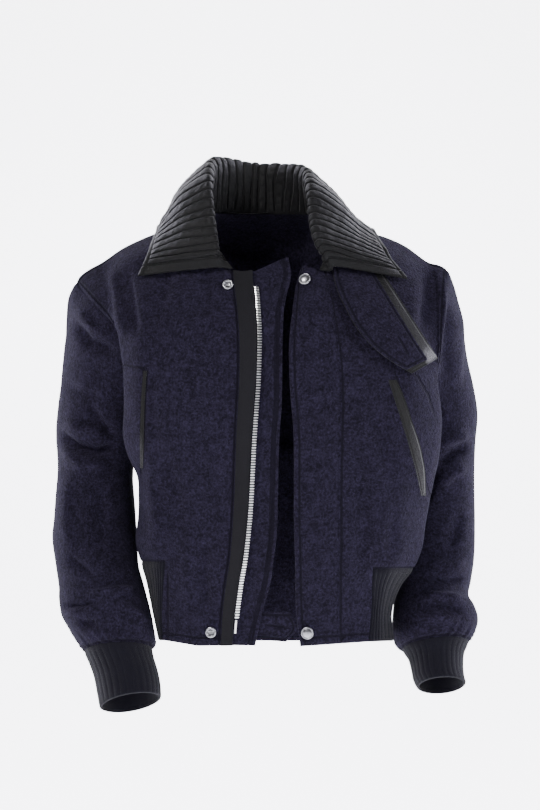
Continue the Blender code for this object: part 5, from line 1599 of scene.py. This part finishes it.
def tab_and_collar(right, left, back, right_cells, back_cells):
    """Throat tab with its backing, and the collar, which lies clear of both and of the panels."""
    backing, _ = throat_tab()
    backing_normals = grid_normals(backing, -1)
    small_sheet("nylon_tab_backing", "throat_tab_backing", backing, -1, "band", NYLON, NYLON, 8, (2.5,),
                unevenness=0.0)
    top = backing[:-1, :-1].copy()
    top[:, 0] = top[:, 0] * 0.985 + top[:, 1] * 0.015
    small_sheet("cloth_throat_tab", "throat_tab", top, -1, "wool", 2.0, NYLON + 2.4, 10, (5.0,),
                (BUTTONHOLE,), unevenness=0.0, puff=0.5)

    tab_top = backing + backing_normals * (NYLON + 2.4)
    tree = surface_tree([(right, right_cells, 1), (left, quad_cells(left), -1), (back, back_cells, 1),
                         (tab_top, quad_cells(tab_top), -1)])
    end = left[0, 2] * 0.4 + left[0, 3] * 0.6
    neckline = np.concatenate([right[0, 1:4], back[0, 9:12], left[0, 4:6][::-1], end[None]])
    collar = collar_grid(neckline)
    for _ in range(4):
        normals = grid_normals(collar, 1)
        under = collar - normals * COLLAR_WALL[:, None, None]
        collar = collar + (clear_of(under, tree, COLLAR_CLEAR) - under)
    quilted_collar(collar)


def right_zip(right, n_right, right_panel, seen_right):
    """Tape, teeth and pin of the right half, with the wind guard behind them and the waist tab."""
    fine_right, _ = right_panel.at(steps(ROWS, 4), np.array([0.02, 0.5, 1.0]))
    small_sheet("woven_tape_right", "zip_tape_right", fine_right, 1, "zip_tape", TAPE, LAY_GAP + TAPE, 2,
                (2.0,), edges="sides", unevenness=0.0)
    first = row_at(right, 0, float(to_true([-10, -110, ZIP_TOP_Z])[2]))
    last = row_at(right, 0, float(to_true([-40, -118, ZIP_FOOT_Z])[2]))
    chain_rows = np.linspace(first, last, 60)
    chain = beside(right, n_right, chain_rows, 0, -1, (0.6, 0.6 + CHAIN_WIDTH), 0.0)
    normals = grid_normals(chain, -1)
    inner, outer = chain[:, 0] + normals[:, 0] * 0.8, chain[:, 1] + normals[:, 1] * 0.8
    made = teeth("teeth_right", inner, outer, normals[:, 0], TOOTH_PITCH, 1.0)
    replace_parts(made, "zip_chain_right")
    pin = beside(right, n_right, [last + 0.03, last + 0.42], 0, -1, (0.5, 4.6), 0.0)
    pin_normals = grid_normals(pin, -1)
    top_of, foot_of = (pin[0, 0] + pin[0, 1]) / 2, (pin[1, 0] + pin[1, 1]) / 2
    out = pin_normals[0, 0] * 0.8
    path = [top_of + out + (foot_of - top_of) * t for t in np.linspace(0, 1, 9)]
    made = join_parts("pin_right", [swept(path, 1.6, 14)], "metal")
    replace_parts(made, "zip_pin")

    guard = wind_guard(right, n_right, seen_right)
    small_sheet("cloth_wind_guard", "wind_guard", guard, -1, "wool", WOOL, 0.0, 6, (6.0, 10.0), edges="free",
                unevenness=0.8)
    small_sheet("cloth_waist_tab", "waist_tab", waist_tab(), -1, "wool", WOOL, 0.0, 14, (5.0,),
                (WAIST_BUTTONHOLE,), unevenness=0.0)


def left_zip(left, n_left, panels):
    """Tape, teeth, slider, box and pull tab of the left half, behind the storm flap."""
    seam = FLAP_COLUMNS
    tape, tape_normals = [], []
    for z in np.linspace(-60, -586, 22):
        seam_x = float(through(LEFT_BODY[:, 0], LEFT_BODY[:, 2], z))
        met = [touch(panels, seam_x + across, z) for across in (-0.7, 12.0, 25.0)]
        tape.append([hit for hit, _ in met])
        tape_normals.append([normal for _, normal in met])
    behind = np.array([LEFT_CHAIN_BEHIND - TAPE / 2, 7.0, WOOL + 1.2])
    tape = np.array(tape) - np.array(tape_normals) * behind[:, None]
    small_sheet("woven_tape_left", "zip_tape_left", tape, -1, "zip_tape", TAPE, 0.0, 4, (2.0,), edges="sides",
                unevenness=0.0)
    slider_z = float(to_true([SLIDER_X, -115, SLIDER_Z])[2])
    first = row_at(left, seam, float(to_true([100, -110, ZIP_TOP_Z])[2]))
    last = row_at(left, seam, slider_z + 7.0)
    chain = beside(left, n_left, np.linspace(first, last, 60), seam, 1, (-1.4, -1.4 - CHAIN_WIDTH),
                   LEFT_CHAIN_BEHIND)
    normals = grid_normals(chain[:, ::-1], -1)[:, ::-1]
    made = teeth("teeth_left", chain[:, 0], chain[:, 1], normals[:, 0], TOOTH_PITCH, 1.0)
    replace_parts(made, "zip_chain_left")

    x, y, z = beside(left, n_left, [row_at(left, seam, slider_z)], seam, 1, (-6.8,), LEFT_CHAIN_BEHIND)[0, 0]
    slider_parts(x, y, z)


def pockets_and_snaps(cloth_top):
    """Pocket strips and snaps, on the folded surface of the fronts."""
    for side, sign in (("right", 1), ("left", -1)):
        table = POCKET_STRIPS[side]
        rows_of = []
        for height in np.linspace(table[0, 0], table[-1, 0], 15):
            low, high = through(table[:, 0], table[:, 1], height), through(table[:, 0], table[:, 2], height)
            rows_of.append([touch(cloth_top, low + (high - low) * u, height)[0]
                            for u in (0, 0.25, 0.5, 0.75, 1)])
        small_sheet("nylon_%s_pocket" % side, side + "_pocket_strip", np.array(rows_of), sign, "band", NYLON,
                    NYLON * 0.9, 5, (1.8,), unevenness=0.0)

    for name, side, at_x, at_z, radius, height in SNAPS:
        kind = "cap" if "cap" in name else "socket"
        parts = snap_parts(cloth_top, at_x, at_z, radius, height, kind)
        made = join_parts("metal_" + name, parts, "snap_metal")
        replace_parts(made, name)


def slider_parts(x, y, z):
    """Slider with two plates, side lips and a post, its bridge, the box under it and the pull tab."""
    parts = [bar((x - 5.2, y - 3.4, z - 6.2), (x + 5.2, y - 1.7, z + 6.2), 0.8),
             bar((x - 5.2, y + 1.7, z - 6.2), (x + 5.2, y + 3.4, z + 6.2), 0.8),
             bar((x - 1.2, y - 2.4, z + 0.5), (x + 1.2, y + 2.4, z + 6.2), 0.5),
             bar((x - 5.4, y - 2.8, z - 6.0), (x - 4.3, y - 0.9, z + 2.0), 0.4),
             bar((x + 4.3, y - 2.8, z - 6.0), (x + 5.4, y - 0.9, z + 2.0), 0.4)]
    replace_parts(join_parts("metal_slider", parts, "metal"), "zip_slider")
    parts = [bar((x - 4.6, y - 2.6, z - 16.5), (x + 4.6, y + 2.6, z - 6.9), 0.9),
             bar((x - 3.2, y - 2.9, z - 14.5), (x + 3.2, y - 2.4, z - 9.0), 0.2)]
    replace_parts(join_parts("metal_box", parts, "metal"), "zip_box")
    front = y - 3.8
    turn = np.linspace(0, math.pi, 15)
    path = np.stack([np.full(15, x), front - 3.6 * np.sin(turn) ** 0.7, z + 4.9 * np.cos(turn)], 1)
    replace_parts(join_parts("metal_bridge", [swept(path, 0.8, 12)], "metal"), "zip_bridge")
    hinge_y = front - 1.5
    corners = []
    for half_x, low, high, radius in ((3.6, -22.0, 2.8, 2.2), (2.0, -8.2, 1.6, 1.4)):
        loop = []
        for sx, top, start in ((1, True, 0), (-1, True, 90), (-1, False, 180), (1, False, 270)):
            cx = sx * (half_x - radius)
            cz = (high - radius) if top else (low + radius)
            for k in range(7):
                a = math.radians(start + 15 * k)
                loop.append((x + cx + radius * math.cos(a), z + cz + radius * math.sin(a)))
        corners.append(np.array(loop))
    outer, hole = corners
    rings = []
    edges = ((outer, 0.3, -0.6), (outer, 0.0, -0.3), (outer, 0.0, 0.3), (outer, 0.3, 0.6),
             (hole, -0.2, 0.6), (hole, 0.0, 0.3), (hole, 0.0, -0.3), (hole, -0.2, -0.6))
    for loop, inset_by, depth in edges:
        middle = loop.mean(axis=0)
        moved = loop - unit(loop - middle) * inset_by
        rings.append(np.stack([moved[:, 0], np.full(len(loop), hinge_y + depth), moved[:, 1]], 1))
    count = len(outer)
    points = np.concatenate(rings)
    faces = [[a * count + k, a * count + (k + 1) % count, b * count + (k + 1) % count, b * count + k]
             for a, b in zip(range(8), [1, 2, 3, 4, 5, 6, 7, 0]) for k in range(count)]
    made = join_parts("metal_pull_tab", [(points, faces)], "metal", "pull_tab")
    if volume(made) < 0:
        made.data.flip_normals()
    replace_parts(made, "pull_tab")


def build():
    """Lays every piece of the jacket on the surfaces of the solids."""
    right, left = front_grid("right"), front_grid("left")
    back = back_grid(right, left)
    arms = {side: sleeve_grid(side) for side in ("right", "left")}
    seen_right = right
    right, left, back = to_true(right), to_true(left), to_true(back)
    arms = {side: to_true(grid) for side, grid in arms.items()}
    trunk = surface_tree([(right, quad_cells(right), 1), (left, quad_cells(left), -1),
                          (back, quad_cells(back), 1)])
    for grid in arms.values():
        for k in range(1, len(grid)):
            grid[k, INNER_SIDE] = clear_of(grid[k, INNER_SIDE], trunk, ARM_CLEAR[min(k, 3)])
    n_right, n_left = outward(right, 1), outward(left, -1)

    right_panel = Panel(right, 1, folds=RIGHT_BODY_FOLDS,
                        share=lambda r, c: (ease(r) * ease(right.shape[1] - 1 - c)
                                            * (1 - body_foot(r, c, RIGHT_RIB))))
    left_panel = Panel(left, -1, folds=LEFT_BODY_FOLDS,
                       share=lambda r, c: (ease(r) * ease(left.shape[1] - 1 - c) * ease(c - FLAP_COLUMNS, 3.5)
                                           * (1 - body_foot(r, c, LEFT_RIB))))
    back_panel = Panel(back, 1, back_folds=BACK_FOLDS,
                       share=lambda r, c: ease(r) * ease(c) * ease(BACK_COLUMNS - c)
                       * (1 - body_foot(r, np.abs(c - BACK_COLUMNS / 2), BACK_COLUMNS / 2 - BACK_RIB_CELLS)))
    front_panel("right", right_panel, 0, right.shape[1] - 1,
                lambda r, c: (r < RIB_ROW) | (c < RIGHT_RIB))
    front_panel("left", left_panel, FLAP_COLUMNS, left.shape[1] - 1,
                lambda r, c: (r < RIB_ROW) | (c < LEFT_RIB))
    storm_flap(left_panel)
    back_piece(back_panel)
    sleeve("right", arms["right"], -1, RIGHT_SLEEVE_FOLDS)
    sleeve("left", arms["left"], 1, LEFT_SLEEVE_FOLDS)
    cuff("right", -1)
    cuff("left", 1)
    side_rib("right", np.concatenate([right[RIB_ROW:, RIGHT_RIB:], back[RIB_ROW:, 1:4]], 1), 1)
    side_rib("left", np.concatenate([left[RIB_ROW:, LEFT_RIB:], back[RIB_ROW:, -4:-1][:, ::-1]], 1), -1)

    right_cells = quad_cells(right, keep=lambda r, c: r < RIB_ROW or c < RIGHT_RIB)
    back_cells = quad_cells(back, keep=lambda r, c: r < RIB_ROW or 3 <= c < BACK_COLUMNS - 3)
    tab_and_collar(right, left, back, right_cells, back_cells)
    right_zip(right, n_right, right_panel, seen_right)
    panels = surface_tree([(right, right_cells, 1), (left, quad_cells(left), -1)])
    folded = [(panel.at(steps(ROWS, 5), steps(panel.grid.shape[1] - 1, 5))[0], panel.sign)
              for panel in (right_panel, left_panel)]
    cloth_top = surface_tree([(points, quad_cells(points), sign) for points, sign in folded])
    left_zip(left, n_left, panels)
    pockets_and_snaps(cloth_top)


def stage_and_light():
    """Pale curved backdrop, a large soft key, a fill, two cool rims and a pale world."""
    backdrop = bpy.data.materials.new("pale_backdrop")
    backdrop.use_nodes = True
    shader = backdrop.node_tree.nodes["Principled BSDF"]
    shader.inputs["Base Color"].default_value = (0.9, 0.9, 0.91, 1)
    shader.inputs["Roughness"].default_value = 0.9
    shader.inputs["Emission Color"].default_value = (0.93, 0.93, 0.96, 1)
    shader.inputs["Emission Strength"].default_value = BACKDROP_GLOW
    angles = np.linspace(0, math.pi / 2, 17)
    curve = [(-5.0, FLOOR_Z)] + [(1.6 + 1.4 * math.sin(a), FLOOR_Z + 1.4 - 1.4 * math.cos(a)) for a in angles]
    curve += [(3.0, 4.0)]
    across = np.linspace(-5, 5, 2)
    points = [(x, y, z) for y, z in curve for x in across]
    faces = [[2 * k, 2 * k + 1, 2 * k + 3, 2 * k + 2] for k in range(len(curve) - 1)]
    mesh = bpy.data.meshes.new("backdrop")
    mesh.from_pydata(points, [], faces)
    mesh.shade_smooth()
    made = bpy.data.objects.new("backdrop", mesh)
    mesh.materials.append(backdrop)
    bpy.context.scene.collection.objects.link(made)

    for name, place_of, size, power, colour in LIGHTS:
        lamp = bpy.data.lights.new(name, "AREA")
        lamp.shape = "RECTANGLE"
        lamp.size, lamp.size_y = size
        lamp.energy = power
        lamp.color = colour
        light = bpy.data.objects.new(name, lamp)
        light.location = place_of
        aim = Vector((0.0, 0.0, -0.3)) - Vector(place_of)
        light.rotation_euler = aim.to_track_quat("-Z", "Y").to_euler()
        bpy.context.scene.collection.objects.link(light)
    world = bpy.data.worlds.new("studio")
    bpy.context.scene.world = world
    world.use_nodes = True
    world.node_tree.nodes["Background"].inputs[0].default_value = (0.93, 0.93, 0.97, 1)
    world.node_tree.nodes["Background"].inputs[1].default_value = WORLD_GLOW


def add_camera():
    """Level camera in front of the jacket at the picture's distance."""
    camera = bpy.data.cameras.new("camera")
    camera.sensor_fit = "VERTICAL"
    camera.sensor_height = 24.0
    camera.lens = 24.0 * VIEW_DISTANCE * MM / FRAME_HEIGHT
    made = bpy.data.objects.new("camera", camera)
    made.location = (VIEW_X * MM, -VIEW_DISTANCE * MM, VIEW_Z * MM)
    made.rotation_euler = (math.pi / 2, 0, 0)
    bpy.context.scene.collection.objects.link(made)
    bpy.context.scene.camera = made


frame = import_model()
add_camera()
MATERIAL.update({
    "wool": wool_material(),
    "rib_knit": knit_material(),
    "nylon": nylon_material("quilted_nylon", NYLON_DARK, NYLON_LIGHT),
    "band": nylon_material("grey_nylon", BAND_DARK, BAND_LIGHT),
    "zip_tape": tape_material(),
    "metal": metal_material("bright_silver", (0.6, 0.6, 0.61), (0.95, 0.95, 0.95), 0.3),
    "snap_metal": metal_material("dark_silver", (0.08, 0.08, 0.09), (0.32, 0.32, 0.34), 0.3),
})
build()
stage_and_light()
